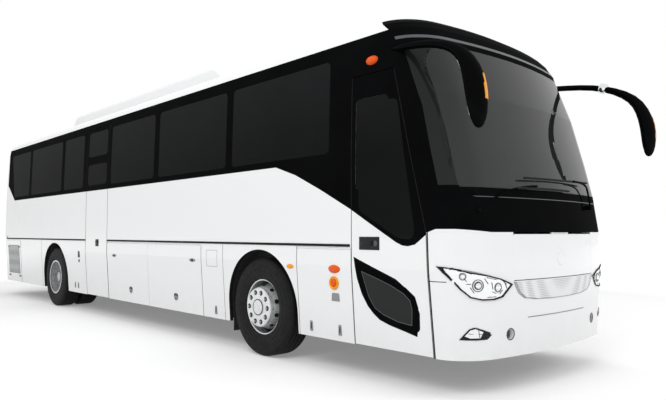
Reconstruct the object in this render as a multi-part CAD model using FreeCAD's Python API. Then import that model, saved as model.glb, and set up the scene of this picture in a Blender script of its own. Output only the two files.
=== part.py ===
import FreeCAD, Part
import math
import os

# A twelve metre coach bus, in millimetres. X runs forward, Y to the left of the bus and Z up.
# The origin is on the ground below the middle of the whole length, mirrors included.

# Main sizes
body_length = 12200.0
body_width = 2550.0
wheelbase = 6200.0
front_overhang = 2738.0
mirror_reach = 292.0
skirt_height = 307.0
roof_height = 3292.0
shell_thickness = 45.0
panel_gap = 7.0
fit_gap = 0.3
pane_gap = 0.5
overrun = 60.0

# Stations along the bus, worked out from the main sizes
half_length = (body_length + mirror_reach) / 2
half_width = body_width / 2
nose_x = half_length - mirror_reach
tail_x = -half_length
front_axle_x = nose_x - front_overhang
rear_axle_x = front_axle_x - wheelbase
rear_overhang = rear_axle_x - tail_x

# Body profile: height share above the skirt, side inset share, nose setback share, tail setback share
profile_shares = [
    (0.0000, 0.0392, 0.0080, 0.0175),
    (0.2322, 0.0000, 0.0000, 0.0000),
    (0.3360, 0.0000, 0.0026, 0.0006),
    (0.4600, 0.0000, 0.0234, 0.0031),
    (0.5605, 0.0000, 0.0500, 0.0055),
    (0.7200, 0.0086, 0.0967, 0.0120),
    (0.8854, 0.0204, 0.1633, 0.0233),
    (0.9256, 0.0337, 0.1885, 0.0294),
    (0.9491, 0.0627, 0.2111, 0.0383),
    (0.9712, 0.1220, 0.2490, 0.0600),
    (0.9870, 0.2180, 0.3060, 0.0970),
    (1.0000, 0.4588, 0.4595, 0.2086),
]
inner_levels = (0, 1, 2, 4, 6, 8, 9, 11)

# Plan shape of the nose and of the tail: bow of the middle, depth and width of the corners
nose_bow = 90.0
nose_corner_depth = 335.0
nose_corner_width = 340.0
tail_bow = 40.0
tail_corner_depth = 220.0
tail_corner_width = 230.0
corner_start_share = 0.51
corner_middle_shares = (0.63, 0.294)
corner_end_share = 0.55
bow_share = 2 / 3

# Wheels and tyres
tyre_radius = 518.0
tyre_width = 295.0
rim_radius = 286.0
rim_wall = 10.0
rim_gap = 0.3
front_wheel_y = 1097.5
twin_spacing = 340.0
disc_thickness = 7.0
rear_disc_y = 927.5
front_disc_y = 1173.0
hub_inner_y = 1062.0
rear_hub_end_y = 1165.0
hub_radius = 118.0
cap_radius = 84.0
cap_length = 46.0
hand_hole_radius = 27.0
hand_hole_circle = 205.0
hand_hole_count = 10
arch_radius = 610.0
housing_thickness = 8.0
housing_inner_y = 600.0
flap_inner_y = 930.0
flap_outer_y = 1165.0
flap_bottom = 190.0

# Front suspension and steering
kingpin_y = 980.0
kingpin_radius = 24.0
knuckle_boss_radius = 58.0
knuckle_boss_height = 150.0
axle_lug_thickness = 42.0
yoke_thickness = 45.0
spindle_radius = 40.0
steering_arm_length = 190.0
arm_thickness = 28.0
tie_rod_radius = 15.0
tie_eye_height = 34.0
pin_radius = 12.0
axle_beam_width = 110.0
axle_beam_height = 95.0
axle_drop = 130.0
air_spring_radius = 110.0
air_spring_y = 500.0
air_spring_x = 60.0

# Rear axle
rear_beam_radius = 70.0
rear_beam_end_y = 880.0
rear_spring_radius = 95.0
differential_radius = 235.0
differential_width = 300.0

# Chassis frame
rail_y = 420.0
rail_width = 80.0
rail_height = 180.0
rail_bottom = 690.0
crossmember_length = 70.0
crossmember_spacing = 1000.0

# Floors and luggage bay
floor_top = 1310.0
floor_thickness = 50.0
bay_floor_bottom = 335.0
bay_floor_thickness = 40.0
bulkhead_thickness = 40.0
step_well_top = 395.0
step_rise = 228.0
step_going = 250.0
driver_floor_top = 950.0
driver_side_y = 150.0
door_clearance = 10.0
driver_rear_share = 0.3900
driver_seat_share = 0.4383
dash_back_share = 0.6980
dash_top = 1560.0
dash_right_y = -380.0
dash_depth = 360.0

# Shares of the front overhang, ahead of the front axle
door_rear_share = 0.5113
door_front_low_share = 0.8350
door_front_mid_share = 0.8236
door_front_high_share = 0.6757
service_rear_share = 0.2301
dome_seam_share = 0.5296
dome_front_share = 0.7049

# Shares of the wheelbase, behind the front axle
bay_front_share = 0.1887
bay_joint_share = 0.4161
bay_rear_share = 0.6323
mid_door_rear_share = 0.7694

# Shares of the rear overhang, behind the rear axle
rear_lid_front_share = 0.5980
rear_lid_rear_share = 0.8700
tail_seam_share = 0.8950

# Panels and windows: how far their edges lie from the nose panel's top, the black band's foot or the brow
lid_drop = 140.0
sill_rise = 70.0
head_drop = 20.0
window_corner = 55.0
glass_thickness = 10.0
front_door_drop = 230.0
mid_door_rise = 35.0
nose_lid_drop = 395.0
nose_lid_half_width = 690.0
nose_lid_thickness = 25.0
screen_foot_rise = 280.0
screen_head_drop = 15.0
dome_foot_rise = 60.0
band_tip_rise = 335.0
screen_half_width = 1160.0
screen_corner = 260.0
screen_side_setback = 345.0
engine_lid_rise = 253.0
engine_lid_drop = 260.0
engine_lid_half_width = 860.0
rear_window_rise = 150.0
rear_window_drop = 90.0
rear_window_half_width = 930.0

# Small panes: driver's window and the upper and lower pane of the front door
cab_pane_shares = [(0.5320, 0.8640), (0.7380, 0.7150), (0.7460, 0.9200), (0.6700, 1.2640), (0.5320, 1.2640)]
leaf_shares = [(0.5240, 0.5500), (0.7020, 0.4640), (0.7680, 0.4040), (0.7900, 0.3300)]
leaf_shares += [(0.7880, 0.2450), (0.6000, 0.3100), (0.5640, 0.3700)]
cab_corner = 60.0
leaf_corner = 40.0
mid_pane_side = 60.0
mid_pane_foot_rise = 90.0
mid_pane_head_drop = 30.0
mid_pane_low_height = 330.0
mid_pane_high_height = 390.0

# The black band's lower edge: shares of the front overhang and of the band height
swoop_shares = [(0.1062, 1.0), (0.2225, 0.9485), (0.3570, 0.8667), (door_rear_share, 0.7641)]
low_swoop_shares = [(0.6402, 0.6758), (0.7460, 0.6096)]
band_rear_share = 0.7454

# Window ends: shares of the wheelbase behind the front axle
front_pane_shares = [(-0.1774, 0.0855), (0.1065, 0.3694), (0.3919, 0.6177)]
middle_pane_shares = [(0.7952, 0.9355)]

# The two rearmost windows: a share of the wheelbase or of the rear overhang behind the rear axle
fifth_pane_share = 0.9581
fifth_pane_end_share = 0.4233
sixth_pane_start_share = 0.4632
sixth_pane_end_share = 0.8282
sixth_pane_slant = 240.0

# Hinge bead along the top edge of the lids
hinge_radius = 8.0
hinge_half_length = 150.0

# Doors that swing out on an arm
door_arm_length = 450.0
door_arm_width = 30.0
front_pivot_share = 0.7670
mid_pivot_share = 0.7435
door_arm_inset = 130.0
door_arm_radius = 20.0
door_arm_heights = (520.0, 1180.0)
door_arm_thickness = 36.0
shaft_top = 1240.0

# Roof unit
unit_front_share = 0.1935
unit_rear_share = 1.0161
unit_half_width = 950.0
unit_height = 178.0
unit_nose_length = 420.0
unit_edge = 90.0

# Engine block
engine_length = 1150.0
engine_bottom = 470.0
engine_top = 1150.0
engine_tail_gap = 260.0

# Seats
seat_pitch = 780.0
seat_width = 445.0
seat_pair_gap = 20.0
seat_base_height = 300.0
seat_cushion_height = 150.0
seat_depth = 440.0
seat_back_height = 760.0
seat_back_thickness = 110.0
seat_recline = 130.0
seat_rows = 12
seat_front_share = 0.2500

# Mirrors on curved arms: shares of the front overhang, half width and roof height, then both half sizes
mirror_sections = [
    (0.6880, 0.9300, 0.8890, 26.0, 30.0),
    (0.7850, 1.0650, 0.8915, 28.0, 32.0),
    (0.8800, 1.1300, 0.8830, 32.0, 36.0),
    (0.9600, 1.1640, 0.8600, 40.0, 48.0),
    (1.0250, 1.1750, 0.8250, 56.0, 82.0),
    (1.0580, 1.1750, 0.7800, 66.0, 112.0),
    (1.0830, 1.1750, 0.7250, 66.0, 118.0),
    (1.0880, 1.1750, 0.6800, 56.0, 100.0),
    (1.0830, 1.1750, 0.6430, 38.0, 66.0),
    (1.0770, 1.1750, 0.6305, 16.0, 30.0),
]
section_share = 0.45

# Steering wheel
steering_wheel_radius = 235.0
steering_wheel_tube = 15.0
steering_wheel_y = 620.0
steering_wheel_height = 1620.0
steering_wheel_share = 0.6574
steering_tilt = 25.0
steering_hub_radius = 45.0
steering_shaft_radius = 20.0
steering_column_radius = 32.0
spoke_width = 32.0
spoke_thickness = 14.0
spoke_count = 3

# Lamps, as shares of the half width and of the band height
lamp_rear_share = 0.8350
head_lamp_shares = [(0.578, 0.4495), (0.670, 0.4035), (0.786, 0.3924), (0.957, 0.4727)]
head_lamp_shares += [(0.990, 0.5237), (0.882, 0.5091), (0.753, 0.4889)]
fog_lamp_shares = [(0.762, 0.2359), (0.899, 0.2364), (0.837, 0.2879), (0.728, 0.2540)]
tail_lamp_inner_y = 880.0
tail_lamp_outer_y = 985.0
tail_lamp_rise = 333.0
tail_lamp_height = 620.0

# Tow sockets
tow_y = 720.0
front_tow_height = 490.0
rear_tow_height = 430.0
front_tow_setback = 114.0
rear_tow_setback = 86.0
tow_socket_depth = 75.0
tow_boss_radius = 52.0
tow_recess_radius = 42.0
tow_bore_radius = 16.5

# Wipers: pivot, elbow, middle and tip of the blade, as shares of the half width and of the band height
wiper_proud = 34.0
wiper_radius = 8.0
wiper_shares = [
    [(-0.729, 0.7500), (-0.452, 0.8515), (-0.130, 0.8500), (0.187, 0.8485)],
    [(0.551, 0.7808), (0.553, 0.9000), (0.080, 0.8960), (-0.387, 0.8899)],
]


def vec(x, y, z):
    return FreeCAD.Vector(x, y, z)


up = vec(0, 0, 1)
left = vec(0, 1, 0)
forward = vec(1, 0, 0)


def ahead(share):
    return front_axle_x + share * front_overhang


def between(share):
    return front_axle_x - share * wheelbase


def behind(share):
    return rear_axle_x - share * rear_overhang


def block(x0, x1, y0, y1, z0, z1):
    return Part.makeBox(x1 - x0, y1 - y0, z1 - z0, vec(x0, y0, z0))


def side_block(x0, x1, side, y0, y1, z0, z1):
    low = min(side * y0, side * y1)
    high = max(side * y0, side * y1)
    return block(x0, x1, low, high, z0, z1)


def rod(radius, start, end):
    return Part.makeCylinder(radius, (end - start).Length, start, end - start)


def mirrored(shape):
    return shape.mirror(vec(0, 0, 0), left)


def fused(shapes):
    return shapes[0].multiFuse(shapes[1:]).removeSplitter()


def polygon_face(points):
    return Part.Face(Part.makePolygon(points + [points[0]]))


def rounded_face(points, radii):
    # a flat face whose corners are arcs, each tangent to both of its sides
    edges = []
    ends = []
    count = len(points)
    for i in range(count):
        here = points[i]
        back = (points[i - 1] - here).normalize()
        on = (points[(i + 1) % count] - here).normalize()
        radius = radii[i] if isinstance(radii, (list, tuple)) else radii
        half = back.getAngle(on) / 2
        reach = radius / math.tan(half)
        middle = (back + on).normalize()
        centre = here + middle * (radius / math.sin(half))
        ends.append((here + back * reach, centre - middle * radius, here + on * reach))
    for i in range(count):
        start, mid, stop = ends[i]
        edges.append(Part.Arc(start, mid, stop).toShape())
        following = ends[(i + 1) % count][0]
        if (following - stop).Length > 0.01 * fit_gap:
            edges.append(Part.LineSegment(stop, following).toShape())
    return Part.Face(Part.Wire(edges))


def side_outline(pairs):
    return [vec(x, 0, z) for x, z in pairs]


def side_prism(face, side, depth=half_width + overrun, start=0.0):
    moved = face.copy()
    moved.translate(vec(0, side * start, 0))
    return moved.extrude(vec(0, side * (depth - start), 0))


def front_prism(face, x0, x1):
    moved = face.copy()
    moved.translate(vec(x0, 0, 0))
    return moved.extrude(vec(x1 - x0, 0, 0))


# Profiles of the body: half width, nose and tail against the height

def profile_points(column):
    height = roof_height - skirt_height
    points = []
    for shares in profile_shares:
        z = skirt_height + shares[0] * height
        if column == 1:
            value = half_width * (1 - shares[1])
        elif column == 2:
            value = nose_x - shares[2] * front_overhang
        else:
            value = tail_x + shares[3] * rear_overhang
        points.append((value, z))
    return points


def inset_points(points, inset, inward):
    # the profile moved inwards, each corner along the line that halves its angle
    moved = []
    for i, (value, z) in enumerate(points):
        before = points[max(i - 1, 0)]
        after = points[min(i + 1, len(points) - 1)]
        normals = []
        for (v0, z0), (v1, z1) in ((before, (value, z)), ((value, z), after)):
            length = math.hypot(v1 - v0, z1 - z0)
            if length > 0:
                normals.append(((z1 - z0) / length * inward, (v0 - v1) / length * inward))
        nv = sum(n[0] for n in normals) / len(normals)
        nz = sum(n[1] for n in normals) / len(normals)
        size = nv * nv + nz * nz
        moved.append((value + inset * nv / size, z + inset * nz / size))
    return moved


def value_at(points, z):
    if z <= points[0][1]:
        return points[0][0]
    for (v0, z0), (v1, z1) in zip(points, points[1:]):
        if z0 <= z <= z1 and z1 > z0:
            return v0 + (v1 - v0) * (z - z0) / (z1 - z0)
    return points[-1][0]


def profiles(inset):
    return [inset_points(profile_points(column), inset, 1 if column == 3 else -1) for column in (1, 2, 3)]


def end_curves(half, end, bow, depth, width):
    # one end of a level outline as three curves from the left side to the right, each a row of poles
    middle = half - width
    slope = 2 * bow / (half_width - width)
    start = (end - bow - depth, half)
    joint = (end - bow, middle)
    corner = [
        start,
        (start[0] + corner_start_share * depth, half),
        (joint[0] - corner_end_share * width * slope, middle + corner_end_share * width),
        joint,
    ]
    lift = bow_share * middle
    centre = [joint, (joint[0] + slope * lift, middle - lift), (joint[0] + slope * lift, lift - middle)]
    centre.append((joint[0], -middle))
    return [corner, centre, [(x, -y) for x, y in reversed(corner)]]


def plain_end(half, end, bow, depth, width):
    # the same end as straight runs, for the inside of the walls
    start = (end - bow - depth, half)
    joint = (end - bow, half - width)
    along, across = corner_middle_shares
    middle = (start[0] + along * depth, half - across * width)
    points = [start, middle, joint]
    return points + [(x, -y) for x, y in reversed(points)]


def level_rows(z, half, nose, tail):
    # all curves round one level: nose, right side, tail from right to left, left side
    rows = end_curves(half, nose, nose_bow, nose_corner_depth, nose_corner_width)
    back = end_curves(half, tail, -tail_bow, -tail_corner_depth, tail_corner_width)
    back = [list(reversed(row)) for row in reversed(back)]
    rows.append([rows[2][-1], back[0][0]])
    rows += back
    rows.append([back[2][-1], rows[0][0]])
    return [[vec(x, y, z) for x, y in row] for row in rows]


def plain_rows(z, half, nose, tail):
    points = plain_end(half, nose, nose_bow, nose_corner_depth, nose_corner_width)
    points += list(reversed(plain_end(half, tail, -tail_bow, -tail_corner_depth, tail_corner_width)))
    points = [vec(x, y, z) for x, y in points]
    return [[a, b] for a, b in zip(points, points[1:] + points[:1])]


def pole_curve(poles):
    if len(poles) == 2:
        return Part.LineSegment(poles[0], poles[1]).toShape()
    curve = Part.BezierCurve()
    curve.setPoles(poles)
    return curve.toShape()


def body_solid(inset, drop=0.0, plain=False):
    halves, noses, tails = profiles(inset)
    wires = []
    for i, (half, z) in enumerate(halves):
        if plain and i not in inner_levels:
            continue
        low = z - drop if i == 0 else z
        rows = (plain_rows if plain else level_rows)(low, half, value_at(noses, z), value_at(tails, z))
        wires.append(Part.Wire([pole_curve(row) for row in rows]))
    return Part.makeLoft(wires, True, True)


def level_height(index):
    return skirt_height + profile_shares[index][0] * (roof_height - skirt_height)


def half_width_at(z, inset=0.0):
    return value_at(profiles(inset)[0], z)


def tail_at(z, inset=0.0):
    return value_at(profiles(inset)[2], z)


def nose_at(z, inset=0.0):
    return value_at(profiles(inset)[1], z)


outer_body = body_solid(0.0)
inner_body = body_solid(shell_thickness, overrun, True)
pane_inner = body_solid(glass_thickness, overrun)
room = body_solid(shell_thickness + fit_gap, overrun, True)
shell = outer_body.cut(inner_body)
pane_shell = outer_body.cut(pane_inner)
nodes = {}

# Heights and stations that several panels share
nose_top = level_height(2)
band_height = level_height(4)
brow_height = level_height(6)
roofline_height = level_height(7)
lid_top = nose_top - lid_drop
nose_lid_bottom = nose_top - nose_lid_drop
screen_bottom = nose_top + screen_foot_rise
screen_top = brow_height - screen_head_drop
dome_low_height = brow_height + dome_foot_rise
sill_height = band_height + sill_rise
head_height = brow_height - head_drop
band_tip_height = band_height + band_tip_rise
front_door_top = brow_height - front_door_drop
mid_door_top = brow_height + mid_door_rise
engine_lid_bottom = skirt_height + engine_lid_rise
engine_lid_top = band_height - engine_lid_drop
rear_window_bottom = band_height + rear_window_rise
rear_window_top = brow_height - rear_window_drop
tail_lamp_bottom = skirt_height + tail_lamp_rise
tail_lamp_top = tail_lamp_bottom + tail_lamp_height
unit_top = roof_height + unit_height
front_tow_x = nose_x - front_tow_setback
rear_tow_x = tail_x + rear_tow_setback
door_rear_x = ahead(door_rear_share)
service_rear_x = ahead(service_rear_share)
seam_low_x = ahead(door_front_low_share)
seam_mid_x = ahead(door_front_mid_share)
seam_high_x = ahead(door_front_high_share)
dome_front_x = ahead(dome_front_share)
dome_seam_x = ahead(dome_seam_share)
tail_seam_x = behind(tail_seam_share)
bay_front_x = between(bay_front_share)
bay_joint_x = between(bay_joint_share)
bay_rear_x = between(bay_rear_share)
mid_door_rear_x = between(mid_door_rear_share)
rear_lid_front_x = behind(rear_lid_front_share)
rear_lid_rear_x = behind(rear_lid_rear_share)
below = skirt_height - overrun
above = roof_height + overrun
reach = half_length + overrun
tail_reach = tail_x - overrun
wide = half_width + overrun
wheel_z = tyre_radius
half_gap = panel_gap / 2


def seam_x(z):
    # the raked seam between the front door, or the driver's side wall, and the front end
    if z < nose_top:
        return seam_low_x + (seam_mid_x - seam_low_x) * (z - skirt_height) / (nose_top - skirt_height)
    return seam_mid_x + (seam_high_x - seam_mid_x) * (z - nose_top) / (brow_height - nose_top)


def shrunk(pairs, distance):
    # a convex outline with every side moved inwards
    count = len(pairs)
    middle_x = sum(x for x, z in pairs) / count
    middle_z = sum(z for x, z in pairs) / count
    lines = []
    for i in range(count):
        (x0, z0), (x1, z1) = pairs[i], pairs[(i + 1) % count]
        length = math.hypot(x1 - x0, z1 - z0)
        nx, nz = (z0 - z1) / length, (x1 - x0) / length
        if (middle_x - x0) * nx + (middle_z - z0) * nz < 0:
            nx, nz = -nx, -nz
        lines.append((nx, nz, nx * x0 + nz * z0 + distance))
    moved = []
    for i in range(count):
        a0, b0, c0 = lines[i - 1]
        a1, b1, c1 = lines[i]
        det = a0 * b1 - a1 * b0
        moved.append(((c0 * b1 - c1 * b0) / det, (a0 * c1 - a1 * c0) / det))
    return moved


def rectangle(x0, x1, z0, z1):
    return [(x0, z0), (x1, z0), (x1, z1), (x0, z1)]


def side_cut(pairs, side, radii=None):
    outline = side_outline(pairs)
    face = polygon_face(outline) if radii is None else rounded_face(outline, radii)
    return side_prism(face, side)


def front_cut(pairs, x0, x1, radii=None):
    outline = [vec(0, y, z) for y, z in pairs]
    face = polygon_face(outline) if radii is None else rounded_face(outline, radii)
    return front_prism(face, x0, x1)


def whole_cut(pairs):
    face = polygon_face(side_outline(pairs))
    face.translate(vec(0, -wide, 0))
    return face.extrude(vec(0, 2 * wide, 0))


def extended(pairs):
    # the same outline carried down past the skirt, as a tool for cutting
    return [(x, z if z > skirt_height else below) for x, z in pairs]


# Side windows: outlines of the openings, the last one with a slanted rear edge
def pane_outlines():
    outlines = []
    for start, end in front_pane_shares + middle_pane_shares:
        outlines.append(rectangle(between(end), between(start), sill_height, head_height))
    fifth_end = behind(fifth_pane_end_share)
    outlines.append(rectangle(fifth_end, between(fifth_pane_share), sill_height, head_height))
    low, high = behind(sixth_pane_end_share), behind(sixth_pane_start_share)
    sill = [(low + sixth_pane_slant, sill_height), (high, sill_height)]
    outlines.append(sill + [(high, head_height), (low, head_height)])
    return outlines


def swoop(shares):
    return [(ahead(along), rise * band_height) for along, rise in shares]


def band_edge():
    # the black band's lower edge, from the tail to the front door
    return [(tail_seam_x, band_tip_height), (behind(band_rear_share), band_height)] + swoop(swoop_shares)


def lower_outline(side):
    points = [(tail_seam_x, below)] + band_edge()
    if side < 0:
        return points + [(door_rear_x, below)]
    points += swoop(low_swoop_shares)
    return points + [(seam_mid_x, nose_top), (seam_low_x, skirt_height), (seam_low_x, below)]


def band_outline(side):
    points = [(tail_seam_x, roofline_height)] + band_edge()
    if side < 0:
        points += [(door_rear_x, front_door_top), (seam_x(front_door_top), front_door_top)]
    else:
        points += swoop(low_swoop_shares) + [(seam_mid_x, nose_top)]
    return points + [(seam_high_x, brow_height), (seam_x(roofline_height), roofline_height)]


def arch_cut(x, side):
    round_part = rod(arch_radius, vec(x, 0, wheel_z), vec(x, side * wide, wheel_z))
    return [round_part, side_block(x - arch_radius, x + arch_radius, side, 0, wide, below, wheel_z)]


# Lids along the skirt: a name, its side, its ends and the gap at each end
lids = []
for side, word in ((-1, "right"), (1, "left")):
    lids.append(("luggage_door_" + word + "_front", side, bay_joint_x, bay_front_x, half_gap, panel_gap))
    lids.append(("luggage_door_" + word + "_rear", side, bay_rear_x, bay_joint_x, panel_gap, half_gap))
    lids.append(("rear_service_lid_" + word, side, rear_lid_rear_x, rear_lid_front_x, panel_gap, panel_gap))
lids.append(("front_service_lid_right", -1, service_rear_x, door_rear_x, panel_gap, panel_gap))

mid_door_outline = rectangle(mid_door_rear_x, bay_rear_x, skirt_height, mid_door_top)
front_door_outline = [
    (door_rear_x, skirt_height),
    (seam_low_x, skirt_height),
    (seam_mid_x, nose_top),
    (seam_x(front_door_top), front_door_top),
    (door_rear_x, front_door_top),
]
cab_pane_outline = swoop(cab_pane_shares)
leaf_outline = swoop(leaf_shares)


def mid_panes():
    x0, x1 = mid_door_rear_x + mid_pane_side, bay_rear_x - mid_pane_side
    low = band_height + mid_pane_foot_rise
    high = brow_height - mid_pane_head_drop
    upper = rectangle(x0, x1, high - mid_pane_high_height, high)
    return [rectangle(x0, x1, low, low + mid_pane_low_height), upper]


def side_walls(side):
    lower = shell.common(side_cut(lower_outline(side), side))
    band = shell.common(side_cut(band_outline(side), side))
    tools = arch_cut(front_axle_x, side) + arch_cut(rear_axle_x, side)
    for name, lid_side, x0, x1, gap0, gap1 in lids:
        if lid_side == side:
            tools.append(side_cut(rectangle(x0, x1, below, lid_top), side))
    openings = [side_cut(outline, side, window_corner) for outline in pane_outlines()]
    if side < 0:
        tools.append(side_cut(extended(mid_door_outline), side))
        openings.append(side_cut(extended(mid_door_outline), side))
    else:
        openings.append(side_cut(cab_pane_outline, side, cab_corner))
    for tool in tools:
        lower = lower.cut(tool)
    for opening in openings:
        band = band.cut(opening)
    return lower, band


def panes(outlines, side, corner):
    glass = []
    for outline in outlines:
        glass.append(pane_shell.common(side_cut(shrunk(outline, pane_gap), side, corner - pane_gap)))
    return glass


# Lids hang on a bead under the wall's edge, so that the skin swings clear of that edge
hinge_drop = fit_gap + hinge_radius
hinge_neck = 2 * panel_gap
lid_hinge_z = lid_top - hinge_drop
lid_hinge_y = half_width - hinge_radius


def side_lid(side, x0, x1):
    panel = shell.common(side_cut(rectangle(x0, x1, below, lid_hinge_z - hinge_neck), side))
    bead_start = vec(x0, side * lid_hinge_y, lid_hinge_z)
    bead = rod(hinge_radius, bead_start, bead_start + forward * (x1 - x0))
    neck_y = lid_hinge_y - hinge_radius
    neck = side_block(x0, x1, side, neck_y, lid_hinge_y, lid_hinge_z - hinge_neck, lid_hinge_z)
    return fused([panel, neck, bead])


nodes["right_side_wall"], nodes["right_window_band"] = side_walls(-1)
nodes["left_side_wall"], nodes["left_window_band"] = side_walls(1)
for name, side, x0, x1, gap0, gap1 in lids:
    nodes[name] = side_lid(side, x0 + gap0, x1 - gap1)

glass = panes(pane_outlines(), -1, window_corner) + panes(pane_outlines(), 1, window_corner)
glass += panes([cab_pane_outline], 1, cab_corner)

# Passenger doors, each on an arm that turns about an upright shaft behind the door's edge
arm_y = half_width - door_arm_inset
front_pivot_x = ahead(front_pivot_share)
mid_pivot_x = between(mid_pivot_share)
front_hang_x = front_pivot_x - door_arm_length
mid_hang_x = mid_pivot_x + door_arm_length
bracket_half = door_arm_width
hinge_pin_radius = pin_radius


def door_brackets(hang_x):
    parts = []
    for height in door_arm_heights:
        top = height - door_arm_thickness / 2 - fit_gap
        low = top - door_arm_width
        wall = half_width_at(low, shell_thickness) + shell_thickness / 2
        inner = arm_y - bracket_half
        parts.append(side_block(hang_x - bracket_half, hang_x + bracket_half, -1, inner, wall, low, top))
        pin_low = vec(hang_x, -arm_y, low)
        pin_length = door_arm_width + fit_gap + door_arm_thickness
        parts.append(rod(hinge_pin_radius, pin_low, pin_low + up * pin_length))
    return parts


def door_arm(pivot_x, hang_x):
    foot = step_well_top + fit_gap
    shaft = rod(door_arm_radius, vec(pivot_x, -arm_y, foot), vec(pivot_x, -arm_y, shaft_top))
    parts = [shaft]
    bores = []
    half = door_arm_thickness / 2
    for height in door_arm_heights:
        low, high = min(pivot_x, hang_x), max(pivot_x, hang_x)
        bar_half = door_arm_width / 2
        parts.append(block(low, high, -arm_y - bar_half, bar_half - arm_y, height - half, height + half))
        eye_low = vec(hang_x, -arm_y, height - half)
        parts.append(rod(2 * hinge_pin_radius, eye_low, eye_low + up * door_arm_thickness))
        bore_low = vec(hang_x, -arm_y, height - door_arm_thickness)
        bores.append(rod(hinge_pin_radius + fit_gap, bore_low, bore_low + up * 2 * door_arm_thickness))
    return fused(parts).cut(bores)


front_leaf = shell.common(side_cut(extended(shrunk(front_door_outline, panel_gap)), -1))
front_leaf = fused([front_leaf] + door_brackets(front_hang_x))
for outline, corner in ((cab_pane_outline, cab_corner), (leaf_outline, leaf_corner)):
    front_leaf = front_leaf.cut(side_cut(outline, -1, corner))
nodes["front_door_panel"] = front_leaf
front_glass = panes([cab_pane_outline], -1, cab_corner) + panes([leaf_outline], -1, leaf_corner)
nodes["front_door_glass"] = Part.makeCompound(front_glass)
nodes["front_door_arm"] = door_arm(front_pivot_x, front_hang_x)
mid_leaf = shell.common(side_cut(extended(shrunk(mid_door_outline, panel_gap)), -1))
mid_leaf = fused([mid_leaf] + door_brackets(mid_hang_x))
for outline in mid_panes():
    mid_leaf = mid_leaf.cut(side_cut(outline, -1, cab_corner))
nodes["mid_door_panel"] = mid_leaf
nodes["mid_door_glass"] = Part.makeCompound(panes(mid_panes(), -1, cab_corner))
nodes["mid_door_arm"] = door_arm(mid_pivot_x, mid_hang_x)

# Front end: bumper, front lid, windscreen frame, windscreen and dome
bumper_outline = [(seam_low_x, below), (seam_low_x, skirt_height), (seam_mid_x, nose_top)]
bumper_outline += [(reach, nose_top), (reach, below)]
frame_outline = [(seam_mid_x, nose_top), (seam_high_x, brow_height), (dome_front_x, dome_low_height)]
frame_outline += [(reach, dome_low_height), (reach, nose_top)]
dome_outline = [(dome_front_x, dome_low_height), (seam_high_x, brow_height)]
dome_outline += [(seam_x(roofline_height), roofline_height), (dome_seam_x, above)]
dome_outline += [(reach, above), (reach, dome_low_height)]
roof_outline = [(tail_seam_x, roofline_height), (seam_x(roofline_height), roofline_height)]
roof_outline += [(dome_seam_x, above), (tail_seam_x, above)]
lamp_x = ahead(lamp_rear_share)


def lamp_plugs(gap):
    plugs = []
    for side in (1, -1):
        for shares in (head_lamp_shares, fog_lamp_shares):
            pairs = [(across * half_width, rise * band_height) for across, rise in shares]
            pairs = [(side * y, z) for y, z in (shrunk(pairs, gap) if gap else pairs)]
            plugs.append(front_cut(pairs, lamp_x + gap, reach))
    return plugs


nose_front = shell.common(whole_cut(bumper_outline))
nose_front = nose_front.cut(
    block(front_axle_x, reach, -nose_lid_half_width, nose_lid_half_width, nose_lid_bottom, nose_top + overrun)
)
nodes["front_lamps"] = Part.makeCompound([nose_front.common(plug) for plug in lamp_plugs(pane_gap)])
for plug in lamp_plugs(0):
    nose_front = nose_front.cut(plug)


def tow_sockets(shell_part, face_x, outward, z):
    # round sockets with a tapped hole, sunk into the skin
    inner_x = face_x - outward * tow_socket_depth
    for side in (1, -1):
        spot = vec(inner_x, side * tow_y, z)
        boss = rod(tow_boss_radius, spot, vec(face_x + outward * overrun, spot.y, z)).common(outer_body)
        shell_part = fused([shell_part, boss])
    for side in (1, -1):
        face = vec(face_x, side * tow_y, z)
        shell_part = shell_part.cut(rod(tow_recess_radius, face, face + forward * outward * 2 * overrun))
        bore_start = face - forward * outward * 2 * overrun
        shell_part = shell_part.cut(rod(tow_bore_radius, bore_start, face + forward * outward * overrun))
    return shell_part


nodes["front_bumper"] = tow_sockets(nose_front, front_tow_x, 1, front_tow_height)
nose_bow_drop = nose_bow * (hinge_half_length / (half_width - nose_corner_width)) ** 2
nose_hinge_z = nose_top - hinge_drop
nose_hinge_x = nose_at(nose_top) - nose_bow_drop - hinge_radius
lid_skin = body_solid(nose_lid_thickness, overrun)
lid_side = nose_lid_half_width - panel_gap
lid_foot = nose_lid_bottom + panel_gap
lid_space = block(front_axle_x, reach, -lid_side, lid_side, lid_foot, nose_hinge_z - hinge_neck)


def end_bead(x, outward, z):
    low, high = vec(x, -hinge_half_length, z), vec(x, hinge_half_length, z)
    behind_x = x - outward * hinge_radius
    neck = block(min(x, behind_x), max(x, behind_x), -hinge_half_length, hinge_half_length, z - hinge_neck, z)
    return [neck, rod(hinge_radius, low, high)]


nose_lid = outer_body.cut(lid_skin).common(lid_space)
nodes["front_lid"] = fused([nose_lid] + end_bead(nose_hinge_x, 1, nose_hinge_z))


def screen_space(inset):
    low, high, side = screen_bottom + inset, screen_top - inset, screen_half_width - inset
    pairs = [(-side, low), (side, low), (side, high), (-side, high)]
    small = screen_corner / 2
    front = front_cut(pairs, front_axle_x, reach, [small, small, screen_corner, screen_corner])
    rake = []
    for z in (low, high):
        rake.append((nose_at(z) - screen_side_setback + inset, z))
    return front.common(whole_cut(rake + [(reach, high), (reach, low)]))


nodes["windscreen_frame"] = shell.common(whole_cut(frame_outline)).cut(screen_space(0))
nodes["windscreen"] = pane_shell.common(screen_space(pane_gap))
nodes["front_dome"] = shell.common(whole_cut(dome_outline))
nodes["roof"] = shell.common(whole_cut(roof_outline))

# Tail: rear wall, engine lid, lamps and rear window
rear_shell = shell.common(whole_cut(rectangle(tail_reach, tail_seam_x, below, above)))


def centred(half, low, high):
    return [(-half, low), (half, low), (half, high), (-half, high)]


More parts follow.
